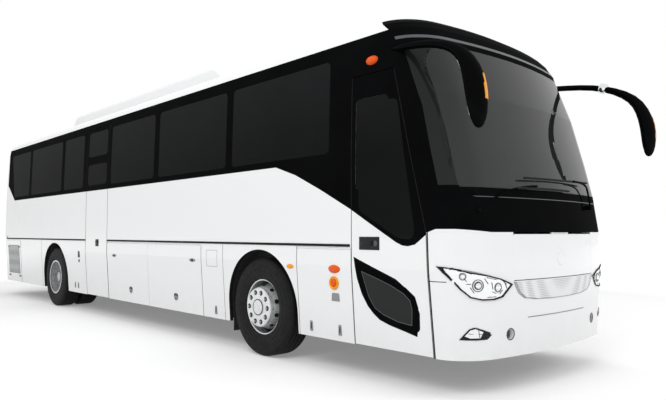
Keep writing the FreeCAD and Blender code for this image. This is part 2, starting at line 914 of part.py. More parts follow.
engine_opening = centred(engine_lid_half_width, engine_lid_bottom, engine_lid_top)
rear_wall = rear_shell.cut(front_cut(engine_opening, tail_reach, tail_seam_x))
rear_pane = centred(rear_window_half_width, rear_window_bottom, rear_window_top)
rear_wall = rear_wall.cut(front_cut(rear_pane, tail_reach, tail_seam_x, window_corner))
rear_lamps = []
for side in (1, -1):
    low_y, high_y = side * tail_lamp_inner_y, side * tail_lamp_outer_y
    pairs = [(low_y, tail_lamp_bottom), (high_y, tail_lamp_bottom)]
    pairs += [(high_y, tail_lamp_top), (low_y, tail_lamp_top)]
    rear_lamps.append(rear_wall.common(front_cut(shrunk(pairs, pane_gap), tail_reach, tail_seam_x)))
    rear_wall = rear_wall.cut(front_cut(pairs, tail_reach, tail_seam_x))
nodes["tail_lamps"] = Part.makeCompound(rear_lamps)
nodes["rear_wall"] = tow_sockets(rear_wall, rear_tow_x, -1, rear_tow_height)
tail_bow_drop = tail_bow * (hinge_half_length / (half_width - tail_corner_width)) ** 2
tail_hinge_z = engine_lid_top - hinge_drop
tail_hinge_x = tail_at(engine_lid_top) + tail_bow_drop + hinge_radius
lid_half = engine_lid_half_width - panel_gap
lid_pairs = centred(lid_half, engine_lid_bottom + panel_gap, tail_hinge_z - hinge_neck)
engine_lid = rear_shell.common(front_cut(lid_pairs, tail_reach, tail_seam_x))
nodes["engine_lid"] = fused([engine_lid] + end_bead(tail_hinge_x, -1, tail_hinge_z))
rear_space = front_cut(shrunk(rear_pane, pane_gap), tail_reach, tail_seam_x, window_corner - pane_gap)
glass.append(pane_shell.common(rear_space))
nodes["body_windows"] = Part.makeCompound(glass)


# Wheels, turned about their axle
def turned(points):
    face = polygon_face([vec(0, along, radius) for along, radius in points])
    return face.revolve(vec(0, 0, 0), left, 360)


def tyre(y):
    half = tyre_width / 2
    bore = rim_radius + rim_gap
    return turned([(y - half, bore), (y - half, tyre_radius), (y + half, tyre_radius), (y + half, bore)])


def rim(low, disc_y, hub_low, hub_end, cap_end):
    # one turned profile: barrel, disc, hub and cap, with a blind bore for the spindle
    high = front_wheel_y + tyre_width / 2
    barrel = rim_radius - rim_wall
    bore = spindle_radius + fit_gap
    back, front = disc_y - disc_thickness, disc_y + disc_thickness
    points = [(back, bore)]
    if hub_low < back:
        points = [(hub_low, bore), (hub_low, hub_radius), (back, hub_radius)]
    points += [(back, barrel), (low, barrel), (low, rim_radius), (high, rim_radius), (high, barrel)]
    points += [(front, barrel), (front, cap_radius), (cap_end, cap_radius), (cap_end, 0)]
    points += [(hub_end + fit_gap, 0), (hub_end + fit_gap, bore)]
    shape = turned(points)
    for k in range(hand_hole_count):
        angle = 2 * math.pi * k / hand_hole_count
        spot = vec(hand_hole_circle * math.sin(angle), back - rim_wall, hand_hole_circle * math.cos(angle))
        shape = shape.cut(rod(hand_hole_radius, spot, spot + left * (front - back + 2 * rim_wall)))
    return shape


def at_axle(shape, x):
    moved = shape.copy()
    moved.translate(vec(x, 0, wheel_z))
    return moved


inner_wheel_y = front_wheel_y - twin_spacing
front_low = front_wheel_y - tyre_width / 2
front_rim = rim(front_low, front_disc_y, hub_inner_y, front_disc_y, front_disc_y + cap_length)
rear_low = inner_wheel_y - tyre_width / 2
rear_rim = rim(rear_low, rear_disc_y, rear_disc_y, rear_hub_end_y, rear_hub_end_y + cap_length / 2)
front_tyre = tyre(front_wheel_y)
twin_tyres = Part.makeCompound([tyre(front_wheel_y), tyre(inner_wheel_y)])
for word, placed in (("left", lambda shape: shape), ("right", mirrored)):
    nodes["tyre_front_" + word] = at_axle(placed(front_tyre), front_axle_x)
    nodes["rim_front_" + word] = at_axle(placed(front_rim), front_axle_x)
    nodes["tyres_rear_" + word] = at_axle(placed(twin_tyres), rear_axle_x)
    nodes["rims_rear_" + word] = at_axle(placed(rear_rim), rear_axle_x)

# Front axle, knuckles and steering
lug_reach = knuckle_boss_height / 2 + fit_gap + axle_lug_thickness
yoke_outer_y = kingpin_y - knuckle_boss_radius - panel_gap
yoke_inner_y = yoke_outer_y - yoke_thickness
beam_end_y = rail_y + rail_width / 2
arm_low = lug_reach + fit_gap
arm_x = arm_thickness - steering_arm_length


def front_beam():
    half_w = axle_beam_width / 2
    half_h = axle_beam_height / 2
    low, high = -axle_drop - half_h, half_h - axle_drop
    parts = [block(-half_w, half_w, -beam_end_y, beam_end_y, low, high)]
    bores = []
    for side in (1, -1):
        slope = [vec(-half_w, side * beam_end_y, low), vec(-half_w, side * beam_end_y, high)]
        slope += [vec(-half_w, side * yoke_outer_y, half_h), vec(-half_w, side * yoke_outer_y, -half_h)]
        parts.append(polygon_face(slope).extrude(forward * axle_beam_width))
        parts.append(side_block(-half_w, half_w, side, yoke_inner_y, yoke_outer_y, -lug_reach, lug_reach))
        for lug_low in (-lug_reach, lug_reach - axle_lug_thickness):
            lug_high = lug_low + axle_lug_thickness
            lug_spot = vec(0, side * kingpin_y, lug_low)
            parts.append(rod(knuckle_boss_radius, lug_spot, lug_spot + up * axle_lug_thickness))
            parts.append(side_block(-half_w, half_w, side, yoke_inner_y, kingpin_y, lug_low, lug_high))
        seat_low = vec(air_spring_x, side * air_spring_y, low)
        seat_high = vec(air_spring_x, seat_low.y, rail_bottom - wheel_z - fit_gap)
        parts.append(rod(air_spring_radius, seat_low, seat_high))
        bore_low = vec(0, side * kingpin_y, -wheel_z)
        bores.append(rod(kingpin_radius + fit_gap, bore_low, bore_low + up * 2 * wheel_z))
    return fused(parts).cut(bores)


def knuckle():
    boss_half = knuckle_boss_height / 2
    pin = vec(0, kingpin_y, 0)
    spindle_end = front_disc_y
    arm_high = arm_low + arm_thickness
    parts = [rod(knuckle_boss_radius, pin - up * boss_half, pin + up * boss_half)]
    parts.append(rod(kingpin_radius, pin - up * lug_reach, pin + up * arm_high))
    parts.append(rod(spindle_radius, pin, vec(0, spindle_end, 0)))
    parts.append(block(arm_x, 0, kingpin_y - arm_thickness, kingpin_y + arm_thickness, arm_low, arm_high))
    parts.append(rod(arm_thickness, vec(arm_x, kingpin_y, arm_low), vec(arm_x, kingpin_y, arm_high)))
    parts.append(rod(arm_thickness, pin + up * arm_low, pin + up * arm_high))
    parts.append(rod(pin_radius, vec(arm_x, kingpin_y, tie_low), vec(arm_x, kingpin_y, arm_high)))
    return fused(parts)


tie_high = arm_low - fit_gap
tie_low = tie_high - tie_eye_height


def tie_rod_shape():
    middle = (tie_low + tie_high) / 2
    parts = [rod(tie_rod_radius, vec(arm_x, -kingpin_y, middle), vec(arm_x, kingpin_y, middle))]
    bores = []
    for side in (1, -1):
        end = vec(arm_x, side * kingpin_y, tie_low)
        parts.append(rod(2 * pin_radius, end, end + up * tie_eye_height))
        bores.append(rod(pin_radius + fit_gap, end - up * tie_rod_radius, end + up * 3 * tie_rod_radius))
    return fused(parts).cut(bores)


nodes["front_axle"] = at_axle(front_beam(), front_axle_x)
nodes["knuckle_left"] = at_axle(knuckle(), front_axle_x)
nodes["knuckle_right"] = at_axle(mirrored(knuckle()), front_axle_x)
nodes["tie_rod"] = at_axle(tie_rod_shape(), front_axle_x)

# Rear axle: a tube with its differential housing, on two air springs
rear_parts = []
tubes = [(rear_beam_radius, rear_beam_end_y), (spindle_radius, rear_hub_end_y)]
tubes.append((differential_radius, differential_width / 2))
for radius, end in tubes:
    rear_parts.append(rod(radius, vec(0, -end, 0), vec(0, end, 0)))
for side in (1, -1):
    spot = vec(0, side * rail_y, -rear_beam_radius)
    rear_parts.append(rod(rear_spring_radius, spot, vec(0, spot.y, rail_bottom - wheel_z - fit_gap)))
nodes["rear_axle"] = at_axle(fused(rear_parts), rear_axle_x)

# Chassis: front and rear rails with crossmembers
front_rail_start = bay_front_x + bulkhead_thickness
rear_rail_start = mid_door_rear_x - bulkhead_thickness
rear_rail_end = tail_x + engine_tail_gap
engine_front_x = rear_rail_end + engine_length
rail_top = rail_bottom + rail_height
rail_inner_y = rail_y - rail_width / 2


def rails(x0, x1, member_x0):
    parts = []
    for side in (1, -1):
        rail_outer_y = rail_y + rail_width / 2
        parts.append(side_block(x0, x1, side, rail_inner_y, rail_outer_y, rail_bottom, rail_top))
    count = int((x1 - member_x0) / crossmember_spacing) + 1
    pitch = (x1 - member_x0 - crossmember_length) / count
    for k in range(count + 1):
        x = member_x0 + k * pitch
        member_low = rail_bottom + rail_height / 2
        parts.append(block(x, x + crossmember_length, -rail_y, rail_y, member_low, rail_top))
    return fused(parts)


front_rails = rails(front_rail_start, door_rear_x, front_rail_start)
rear_rails = rails(rear_rail_end, rear_rail_start, engine_front_x + fit_gap)
nodes["chassis_frame"] = Part.makeCompound([front_rails, rear_rails])

# Luggage bay: floor and bulkheads, clear of the doors
floor_bottom = floor_top - floor_thickness
bay_side = half_width_at(skirt_height, shell_thickness) - door_clearance
bay_floor_top = bay_floor_bottom + bay_floor_thickness
bay = fused([
    block(bay_rear_x, front_rail_start, -bay_side, bay_side, bay_floor_bottom, bay_floor_top),
    block(bay_front_x, front_rail_start, -bay_side, bay_side, bay_floor_bottom, floor_bottom),
    block(bay_rear_x, bay_rear_x + bulkhead_thickness, -bay_side, bay_side, bay_floor_bottom, floor_bottom),
])
well_wall = block(rear_rail_start, mid_door_rear_x, -bay_side, bay_side, bay_floor_bottom, floor_bottom)
nodes["luggage_bay"] = Part.makeCompound([bay, well_wall])


# Cabin floor with the steps of both doors, the posts that carry their shafts and the driver's platform
def stairs(x0, x1):
    parts = []
    y = door_clearance - half_width_at(step_well_top, shell_thickness)
    z = step_well_top
    while z < floor_top - step_rise / 2:
        edge = y + step_going
        higher = z + step_rise if z + step_rise < floor_top - step_rise / 2 else floor_top
        parts.append(block(x0, x1, y, edge, z - bay_floor_thickness, z))
        parts.append(block(x0, x1, edge - bay_floor_thickness / 2, edge, z - bay_floor_thickness, higher))
        y = edge
        z += step_rise
    return parts, y


def door_post(pivot_x):
    inner = door_arm_radius + door_clearance - arm_y
    half = door_arm_width / 2
    post = block(pivot_x - half, pivot_x + half, inner, inner + door_arm_width, step_well_top, shaft_top)
    lug = block(
        pivot_x - door_arm_width, pivot_x + door_arm_width, -arm_y - door_arm_width, inner + door_arm_width,
        shaft_top - door_arm_width, shaft_top,
    )
    bore_low = vec(pivot_x, -arm_y, shaft_top - overrun)
    bore = rod(door_arm_radius + fit_gap, bore_low, bore_low + up * 2 * overrun)
    return fused([post, lug]).cut(bore)


landing_x = seam_mid_x - 2 * overrun
mid_steps, mid_well_y = stairs(mid_door_rear_x + panel_gap, bay_rear_x - panel_gap)
front_steps, front_well_y = stairs(door_rear_x + panel_gap, landing_x)
deck = block(tail_x, door_rear_x, -half_width, half_width, floor_bottom, floor_top)
cut_low, cut_high = floor_bottom - overrun, floor_top + overrun
deck = deck.cut(block(mid_door_rear_x, bay_rear_x, -half_width, mid_well_y, cut_low, cut_high))
platform_low = driver_floor_top - floor_thickness
platform_x = ahead(driver_rear_share)
deck = deck.cut(block(platform_x, door_rear_x, driver_side_y, half_width, cut_low, cut_high))
wall_thickness = bay_floor_thickness / 2
wall_x = platform_x - wall_thickness
floor_parts = [
    deck.common(room),
    block(door_rear_x, landing_x, front_well_y, driver_side_y, floor_bottom, floor_top),
    block(platform_x, landing_x, driver_side_y, driver_side_y + wall_thickness, platform_low, floor_top),
    block(wall_x, platform_x, driver_side_y, half_width, platform_low, floor_top).common(room),
    block(platform_x, seam_low_x, driver_side_y, half_width, platform_low, driver_floor_top).common(room),
    door_post(front_pivot_x),
    door_post(mid_pivot_x),
]
nodes["cabin_floor"] = fused(floor_parts + mid_steps + front_steps)


# Wheel housings, open towards the axle, with a mud flap behind each
def housing(x, side):
    outer = arch_radius + housing_thickness
    low = vec(x, side * housing_inner_y, wheel_z)
    ring = rod(outer, low, vec(x, side * half_width, wheel_z))
    skirt = side_block(x - outer, x + outer, side, housing_inner_y, half_width, bay_floor_bottom, wheel_z)
    hollow = rod(arch_radius, vec(x, 0, wheel_z), vec(x, side * wide, wheel_z))
    drop = side_block(x - arch_radius, x + arch_radius, side, 0, wide, 0, wheel_z)
    under = side_block(x - outer, x + outer, side, 0, wide, 0, bay_floor_bottom)
    flap_x = x - outer - housing_thickness
    flap = side_block(flap_x, x - outer, side, flap_inner_y, flap_outer_y, flap_bottom, wheel_z)
    return fused([ring, skirt]).cut([hollow, drop, under]).common(room).fuse(flap)


housings = [housing(x, side) for x in (front_axle_x, rear_axle_x) for side in (1, -1)]
nodes["wheel_housings"] = Part.makeCompound(housings)

# Engine, one plain block between the rear rails
engine_side = rail_inner_y - fit_gap
nodes["engine"] = block(rear_rail_end, engine_front_x, -engine_side, engine_side, engine_bottom, engine_top)

# Roof unit with sloped ends, its underside fitted to the roof
unit_x1 = between(unit_front_share)
unit_x0 = between(unit_rear_share)
unit_low = roof_height - overrun
unit_middle = roof_height + (unit_top - roof_height) / 2
unit_profile = [
    (unit_x0, unit_low),
    (unit_x1, unit_low),
    (unit_x1 - unit_nose_length / 2, unit_middle),
    (unit_x1 - unit_nose_length, unit_top),
    (unit_x0 + unit_nose_length / 2, unit_top),
]
unit_pairs = centred(unit_half_width, unit_low, unit_top)
unit_body = front_cut(unit_pairs, unit_x0, unit_x1, [fit_gap, fit_gap, unit_edge, unit_edge])
nodes["roof_unit"] = unit_body.common(whole_cut(unit_profile)).cut(outer_body)


# Seats, two to a bench, standing on the floor
def seat(x, y0, y1, floor):
    cushion = floor + seat_base_height
    top = cushion + seat_cushion_height
    leg_x = x + seat_depth / 4
    points = [
        (leg_x, floor),
        (leg_x + seat_depth / 2, floor),
        (leg_x + seat_depth / 2, cushion),
        (x + seat_depth, cushion),
        (x + seat_depth, top),
        (x + seat_back_thickness, top),
        (x + seat_back_thickness - seat_recline, top + seat_back_height),
        (x - seat_recline, top + seat_back_height),
        (x, cushion),
        (leg_x, cushion),
    ]
    return polygon_face([vec(px, y0, pz) for px, pz in points]).extrude(left * (y1 - y0))


seat_outer_y = half_width - 2 * shell_thickness
seat_inner_y = seat_outer_y - 2 * seat_width - seat_pair_gap
benches = []
for row in range(seat_rows):
    x = ahead(seat_front_share) - seat_depth - row * seat_pitch
    for side in (1, -1):
        beside_well = x + seat_depth > mid_door_rear_x - seat_recline and x - seat_recline < bay_rear_x
        if side > 0 or not beside_well:
            low_y, high_y = sorted((side * seat_inner_y, side * seat_outer_y))
            benches.append(seat(x, low_y, high_y, floor_top))
driver_seat_x = ahead(driver_seat_share)
driver_low_y = steering_wheel_y - seat_width / 2
benches.append(seat(driver_seat_x, driver_low_y, driver_low_y + seat_width, driver_floor_top))
nodes["seats"] = Part.makeCompound(benches)

# Dashboard across the nose, with the steering column
dash_low = floor_top + fit_gap
dash_back_x = ahead(dash_back_share)
dash_pairs = [
    (dash_back_x, dash_low),
    (dash_back_x - dash_depth / 3, (dash_low + dash_top) / 2),
    (dash_back_x, dash_top),
    (reach, dash_top),
    (reach, dash_low),
]
dash_space = block(front_axle_x, reach, dash_right_y, half_width, below, above)
dash = room.common(whole_cut(dash_pairs)).common(dash_space)
tilt = math.radians(steering_tilt)
column_axis = vec(-math.sin(tilt), 0, math.cos(tilt))
wheel_centre = vec(ahead(steering_wheel_share), steering_wheel_y, steering_wheel_height)
hub_foot = wheel_centre - column_axis * steering_hub_radius
column_drop = (hub_foot.z - driver_floor_top) / math.cos(tilt)
column_foot = hub_foot - column_axis * (column_drop + overrun)
column = rod(steering_column_radius, column_foot, hub_foot - column_axis * fit_gap)
column = column.common(block(front_axle_x, reach, 0, half_width, driver_floor_top + fit_gap, above))
shaft = rod(steering_shaft_radius, hub_foot - column_axis * overrun, wheel_centre)
nodes["dashboard"] = fused([dash, column, shaft])


def steering_wheel():
    radius, tube, hub = steering_wheel_radius, steering_wheel_tube, steering_hub_radius
    inner, outer = radius - tube, radius + tube
    section = [vec(inner, 0, -tube), vec(inner, 0, tube), vec(outer, 0, tube), vec(outer, 0, -tube)]
    parts = [polygon_face(section).revolve(vec(0, 0, 0), up, 360)]
    parts.append(rod(hub, vec(0, 0, -hub), vec(0, 0, hub / 2)))
    for k in range(spoke_count):
        spoke = block(0, radius, -spoke_width / 2, spoke_width / 2, -spoke_thickness / 2, spoke_thickness / 2)
        spoke.rotate(vec(0, 0, 0), up, 360 * k / spoke_count)
        parts.append(spoke)
    bore = rod(steering_shaft_radius + fit_gap, vec(0, 0, -2 * hub), vec(0, 0, fit_gap))
    wheel = fused(parts).cut(bore)
    wheel.rotate(vec(0, 0, 0), left, -steering_tilt)
    wheel.translate(wheel_centre)
    return wheel


nodes["steering_wheel"] = steering_wheel()


# Mirrors on arms from the roof's front corners, with eight sided sections along the arm and the head
def mirror():
    centres = []
    for along, across, rise, half_depth, half_breadth in mirror_sections:
        centres.append(vec(ahead(along), across * half_width, rise * roof_height))
    wires = []
    for i, centre in enumerate(centres):
        half_depth, half_breadth = mirror_sections[i][3:]
        run = (centres[min(i + 1, len(centres) - 1)] - centres[max(i - 1, 0)]).normalize()
        across = (left - run * left.dot(run)).normalize()
        thick = run.cross(across)
        corners = []
        for u, v in ((1, section_share), (section_share, 1), (-section_share, 1), (-1, section_share)):
            corners.append(centre + across * (u * half_breadth) + thick * (v * half_depth))
        for u, v in ((-1, section_share), (-section_share, 1), (section_share, 1), (1, section_share)):
            corners.append(centre + across * (u * half_breadth) - thick * (v * half_depth))
        wires.append(Part.makePolygon(corners + corners[:1]))
    body = Part.makeLoft(wires, True, True)
    return body.common(block(0, half_length, 0, mirror_reach + half_width, 0, above)).cut(outer_body)


nodes["mirrors"] = Part.makeCompound([mirror(), mirrored(mirror())])


# Wipers, lying along the foot of the windscreen
def on_nose(y, z, proud):
    return vec(nose_at(z) - nose_bow * (y / (half_width - nose_corner_width)) ** 2 + proud, y, z)


wipers = []
for pivot, elbow, middle, tip in wiper_shares:
    spots = [(across * half_width, rise * band_height) for across, rise in (pivot, elbow, middle, tip)]
    (pivot_y, pivot_z) = spots[0]
    path = [on_nose(y, z, wiper_proud) for y, z in spots]
    parts = [rod(2 * wiper_radius, on_nose(pivot_y, pivot_z, -wiper_proud), path[0])]
    parts += [rod(wiper_radius, a, b) for a, b in zip(path, path[1:])]
    wipers.append(fused(parts).cut(outer_body))
nodes["wipers"] = Part.makeCompound(wipers)

os.makedirs("parts", exist_ok=True)
for name, shape in nodes.items():
    shape.exportStep("parts/" + name + ".step")
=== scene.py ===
import math
import bpy
from mathutils import Vector, Matrix


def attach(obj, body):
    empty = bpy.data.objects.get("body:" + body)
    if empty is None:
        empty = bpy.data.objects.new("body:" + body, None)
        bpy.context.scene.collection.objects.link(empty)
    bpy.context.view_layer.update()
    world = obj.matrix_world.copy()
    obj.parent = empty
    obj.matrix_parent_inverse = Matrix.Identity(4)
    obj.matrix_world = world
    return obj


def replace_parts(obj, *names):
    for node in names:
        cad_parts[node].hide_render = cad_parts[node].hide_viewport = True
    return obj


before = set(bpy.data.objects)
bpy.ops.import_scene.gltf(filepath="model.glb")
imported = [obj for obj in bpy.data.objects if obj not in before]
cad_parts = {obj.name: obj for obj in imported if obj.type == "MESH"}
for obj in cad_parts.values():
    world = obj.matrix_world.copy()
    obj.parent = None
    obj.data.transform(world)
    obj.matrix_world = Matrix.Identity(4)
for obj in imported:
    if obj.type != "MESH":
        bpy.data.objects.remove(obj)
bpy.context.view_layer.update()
frontAxle, rearAxle, wheelHeight = 3.216, -2.984, 0.518   # metres
panelFoot, farUp = 0.307, 4.0
sides = ((-1, "Right"), (1, "Left"))
ahead, astern, rightward = (1, 0, 0), (-1, 0, 0), (0, -1, 0)


def linear(hexColour):
    channels = []
    for start in (1, 3, 5):
        value = int(hexColour[start:start + 2], 16) / 255
        channels.append(value / 12.92 if value <= 0.04045 else ((value + 0.055) / 1.055) ** 2.4)
    return (*channels, 1.0)


def add(tree, kind, inputs=None, **settings):
    made = tree.nodes.new(kind)
    for key, value in settings.items():
        setattr(made, key, value)
    for key, value in (inputs or {}).items():
        if isinstance(value, bpy.types.NodeSocket):
            tree.links.new(value, made.inputs[key])
        else:
            made.inputs[key].default_value = value
    return made


def newMaterial(name, **shader):
    material = bpy.data.materials.new(name)
    material.use_nodes = True
    tree = material.node_tree
    tree.nodes.clear()
    inputs = {key.replace("_", " "): value for key, value in shader.items()}
    body = add(tree, "ShaderNodeBsdfPrincipled", inputs)
    add(tree, "ShaderNodeOutputMaterial", {"Surface": body.outputs["BSDF"]})
    place = add(tree, "ShaderNodeTexCoord").outputs["Object"]
    return material, tree, body, place


def patterned(material, body, tint=None, gloss=None, relief=None):
    # tint: a factor and the colours it runs between; relief: a height, its depth in metres and its strength
    tree = material.node_tree
    if tint:
        inputs = {0: tint[0], 6: linear(tint[1]), 7: linear(tint[2])}
        colours = add(tree, "ShaderNodeMix", inputs, data_type="RGBA")
        tree.links.new(colours.outputs[2], body.inputs["Base Color"])
    if gloss:
        tree.links.new(gloss, body.inputs["Roughness"])
    if relief:
        bump = add(tree, "ShaderNodeBump", {"Height": relief[0], "Distance": relief[1], "Strength": relief[2]})
        tree.links.new(bump.outputs["Normal"], body.inputs["Normal"])
    return material


def grain(tree, place, scale, reach=None, window=(0.3, 0.7), detail=4.0):
    # noise with features about 1 / scale metres across, its window of values stretched to any reach given
    inputs = {"Vector": place, "Scale": scale, "Detail": detail, "Roughness": 0.55}
    noise = add(tree, "ShaderNodeTexNoise", inputs).outputs["Fac"]
    if not reach:
        return noise
    inputs = {0: noise, 1: window[0], 2: window[1], 3: reach[0], 4: reach[1]}
    return add(tree, "ShaderNodeMapRange", inputs).outputs[0]


def byHeight(tree, place, foot, head, reach):
    # a value that changes with the height above the ground, from foot to head
    height = add(tree, "ShaderNodeSeparateXYZ", {"Vector": place}).outputs["Z"]
    return add(tree, "ShaderNodeMapRange", {0: height, 1: foot, 2: head, 3: reach[0], 4: reach[1]}).outputs[0]


def whitePaint():
    # two pack vehicle enamel: gloss with a faint ripple, and a breath of road film low on the skirt
    shader = {"Roughness": 0.22, "IOR": 1.5, "Coat_Weight": 0.3, "Coat_Roughness": 0.04}
    material, tree, body, place = newMaterial("whiteVehicleEnamel", **shader)
    skirt, patches = byHeight(tree, place, 0.30, 0.70, (0.35, 0.0)), grain(tree, place, 7.0, (0.1, 0.5))
    film = add(tree, "ShaderNodeMath", {0: skirt, 1: patches}, operation="MULTIPLY").outputs[0]
    return patterned(material, body, (film, "#ECEDEE", "#C9C8C6"), grain(tree, place, 3.0, (0.18, 0.27)),
                     (grain(tree, place, 130.0, detail=2.0), 0.0002, 0.25))


def blackPaint():
    # black gloss panels between the bonded windows: the depth of colour hides all but a trace of reflection
    shader = {"IOR": 1.5, "Specular_IOR_Level": 0.0, "Coat_Weight": 0.035, "Coat_Roughness": 0.03}
    material, tree, body, place = newMaterial("blackGlossEnamel", **shader)
    return patterned(material, body, (grain(tree, place, 1.6, (0.0, 1.0)), "#050506", "#090A0B"),
                     grain(tree, place, 2.5, (0.09, 0.17)),
                     (grain(tree, place, 110.0, detail=2.0), 0.0002, 0.2))


def sideWindows():
    # privacy glass tinted in the mass: nearly opaque, a little paler towards its head, faintly wavy
    shader = {"Specular_IOR_Level": 0.0, "Transmission_Weight": 0.08, "Coat_Weight": 0.03}
    material, tree, body, place = newMaterial("tintedPrivacyGlass", IOR=1.5, Coat_Roughness=0.02, **shader)
    rising, patches = byHeight(tree, place, 2.0, 2.95, (0.0, 0.75)), grain(tree, place, 1.2, (0.0, 0.25))
    cloudy = add(tree, "ShaderNodeMath", {0: rising, 1: patches}, operation="ADD").outputs[0]
    return patterned(material, body, (cloudy, "#0B0C0C", "#1C1D1E"), grain(tree, place, 6.0, (0.02, 0.05)),
                     (grain(tree, place, 3.0, detail=1.0), 0.0008, 0.3))


def windscreenGlass(name, transmission):
    # laminated screen with a grey tint, darker towards its head as painted shade, and the slight waviness that
    # bending leaves
    shader = {"IOR": 1.5, "Specular_IOR_Level": 0.12, "Transmission_Weight": transmission}
    material, tree, body, place = newMaterial(name, **shader)
    # the lower and the upper colour: the darker head of the glass is painted shade
    light, shadedHead = ("#3B3D3D", "#2C2E2E") if transmission else ("#232424", "#1D1E1E")
    return patterned(material, body, (byHeight(tree, place, 1.6, 2.9, (0.0, 1.0)), light, shadedHead),
                     grain(tree, place, 5.0, (0.0, 0.006)), (grain(tree, place, 2.0, detail=1.0), 0.0004, 0.3))


def clearCover():
    # clear polycarbonate lamp cover, moulded without ribs
    shader = {"Base_Color": linear("#F3F6F8"), "Roughness": 0.02, "IOR": 1.45, "Transmission_Weight": 1.0}
    material, tree, body, place = newMaterial("clearPolycarbonate", **shader)
    return patterned(material, body, None, grain(tree, place, 6.0, (0.02, 0.04)),
                     (grain(tree, place, 3.0, detail=1.0), 0.0002, 0.3))


def rubber(name, colour, dust, dustColour="#55524D"):
    # moulded black rubber with dust that settles in its fine grain
    material, tree, body, place = newMaterial(name, Roughness=0.75, IOR=1.52, Specular_IOR_Level=0.22)
    return patterned(material, body, (grain(tree, place, 9.0, (0.0, dust)), colour, dustColour),
                     grain(tree, place, 40.0, (0.62, 0.85)), (grain(tree, place, 600.0), 0.0006, 0.5))


def metal(name, colour, roughness, streaks=0.0):
    # bright metal, its streaks drawn out along the part as turning or rolling leaves them
    shader = {"Base_Color": linear(colour), "Metallic": 1.0, "Roughness": roughness}
    material, tree, body, place = newMaterial(name, **shader)
    inputs = {"Vector": place, "Scale": (1.0, 1.0 + streaks, 1.0)}
    drawn = add(tree, "ShaderNodeMapping", inputs).outputs["Vector"]
    return patterned(material, body, None, grain(tree, drawn, 60.0, (roughness * 0.75, roughness * 1.35)),
                     (grain(tree, drawn, 250.0), 0.0002, 0.2))


def silverPaint():
    # silver wheel enamel: fine flake, and brake dust as darker patches
    shader = {"Metallic": 0.75, "Roughness": 0.34, "Coat_Weight": 0.3, "Coat_Roughness": 0.1}
    material, tree, body, place = newMaterial("silverWheelEnamel", **shader)
    dust = grain(tree, place, 14.0, (0.0, 0.35), (0.45, 0.75))
    return patterned(material, body, (dust, "#D9DBDC", "#A9A9A7"), grain(tree, place, 30.0, (0.22, 0.36)),
                     (grain(tree, place, 500.0), 0.0002, 0.3))


def plastic(name, colour, roughness):
    # moulded plastic with the fine leather-like grain of the tool
    material, tree, body, place = newMaterial(name, Roughness=roughness, IOR=1.46, Specular_IOR_Level=0.25)
    cells = add(tree, "ShaderNodeTexVoronoi", {"Vector": place, "Scale": 900.0}, feature="DISTANCE_TO_EDGE")
    return patterned(material, body, (grain(tree, place, 5.0, (0.0, 0.15)), colour, "#3A3B3D"),
                     grain(tree, place, 25.0, (roughness * 0.85, roughness * 1.15)),
                     (cells.outputs["Distance"], 0.0003, 0.4))


def lens(name, colour):
    # injected acrylic lens, dyed in the mass, with fine moulded prism ribs about 2 mm apart
    shader = {"Roughness": 0.25, "IOR": 1.49, "Specular_IOR_Level": 0.2, "Coat_Weight": 0.08}
    material, tree, body, place = newMaterial(name, Coat_Roughness=0.05, **shader)
    inputs = {"Vector": place, "Scale": 170.0, "Distortion": 0.0}
    ribs = add(tree, "ShaderNodeTexWave", inputs, bands_direction="Z").outputs["Fac"]
    shade = add(tree, "ShaderNodeMapRange", {0: ribs, 1: 0.0, 2: 1.0, 3: 0.0, 4: 0.16}).outputs[0]
    return patterned(material, body, (shade, colour, "#7A2A04"), None, (ribs, 0.0015, 0.4))


def perforatedMesh(name, wire, hole):
    # expanded metal: 7 mm cells drawn 14 mm wide so that they show
    material, tree, body, place = newMaterial(name, Metallic=0.3, Roughness=0.45)
    inputs = {"Vector": place, "Scale": 70.0, "Randomness": 0.0}
    cells = add(tree, "ShaderNodeTexVoronoi", inputs).outputs["Distance"]
    openings = add(tree, "ShaderNodeMapRange", {0: cells, 1: 0.30, 2: 0.42, 3: 1.0, 4: 0.0}).outputs[0]
    return patterned(material, body, (openings, wire, hole), None, (openings, 0.002, 0.4))


def seatCloth():
    # woven moquette: its weave drawn 3 mm wide, with a soft nap
    shader = {"Roughness": 0.9, "Sheen_Weight": 0.3, "Sheen_Roughness": 0.4}
    material, tree, body, place = newMaterial("wovenSeatMoquette", **shader)
    weave = add(tree, "ShaderNodeTexVoronoi", {"Vector": place, "Scale": 320.0}).outputs["Distance"]
    patches = grain(tree, place, 18.0, (0.0, 1.0))
    return patterned(material, body, (patches, "#23272F", "#39404C"), None, (weave, 0.0015, 0.7))


def chassisPaint():
    # satin black chassis paint under a film of road dust
    material, tree, body, place = newMaterial("satinChassisPaint", Roughness=0.5)
    return patterned(material, body, (grain(tree, place, 12.0, (0.0, 0.6)), "#141516", "#3B3733"),
                     grain(tree, place, 20.0, (0.42, 0.7)), (grain(tree, place, 90.0), 0.0006, 0.4))


def castIron():
    # bare sand cast iron, rough and brownish in patches
    material, tree, body, place = newMaterial("sandCastIron", Metallic=0.4, Roughness=0.6)
    patches = grain(tree, place, 25.0, (0.0, 1.0))
    relief = (grain(tree, place, 220.0), 0.0015, 0.6)
    return patterned(material, body, (patches, "#2C2D2E", "#45403A"), None, relief)


def floorCovering():
    # studded vinyl floor covering, its studs drawn 12 mm apart
    material, tree, body, place = newMaterial("studdedFloorVinyl", Roughness=0.6)
    inputs = {"Vector": place, "Scale": 83.0, "Randomness": 0.0}
    studs = add(tree, "ShaderNodeTexVoronoi", inputs).outputs["Distance"]
    patches = grain(tree, place, 60.0, (0.0, 1.0))
    return patterned(material, body, (patches, "#4A4B4D", "#5E5F61"), None, (studs, 0.001, 0.6))


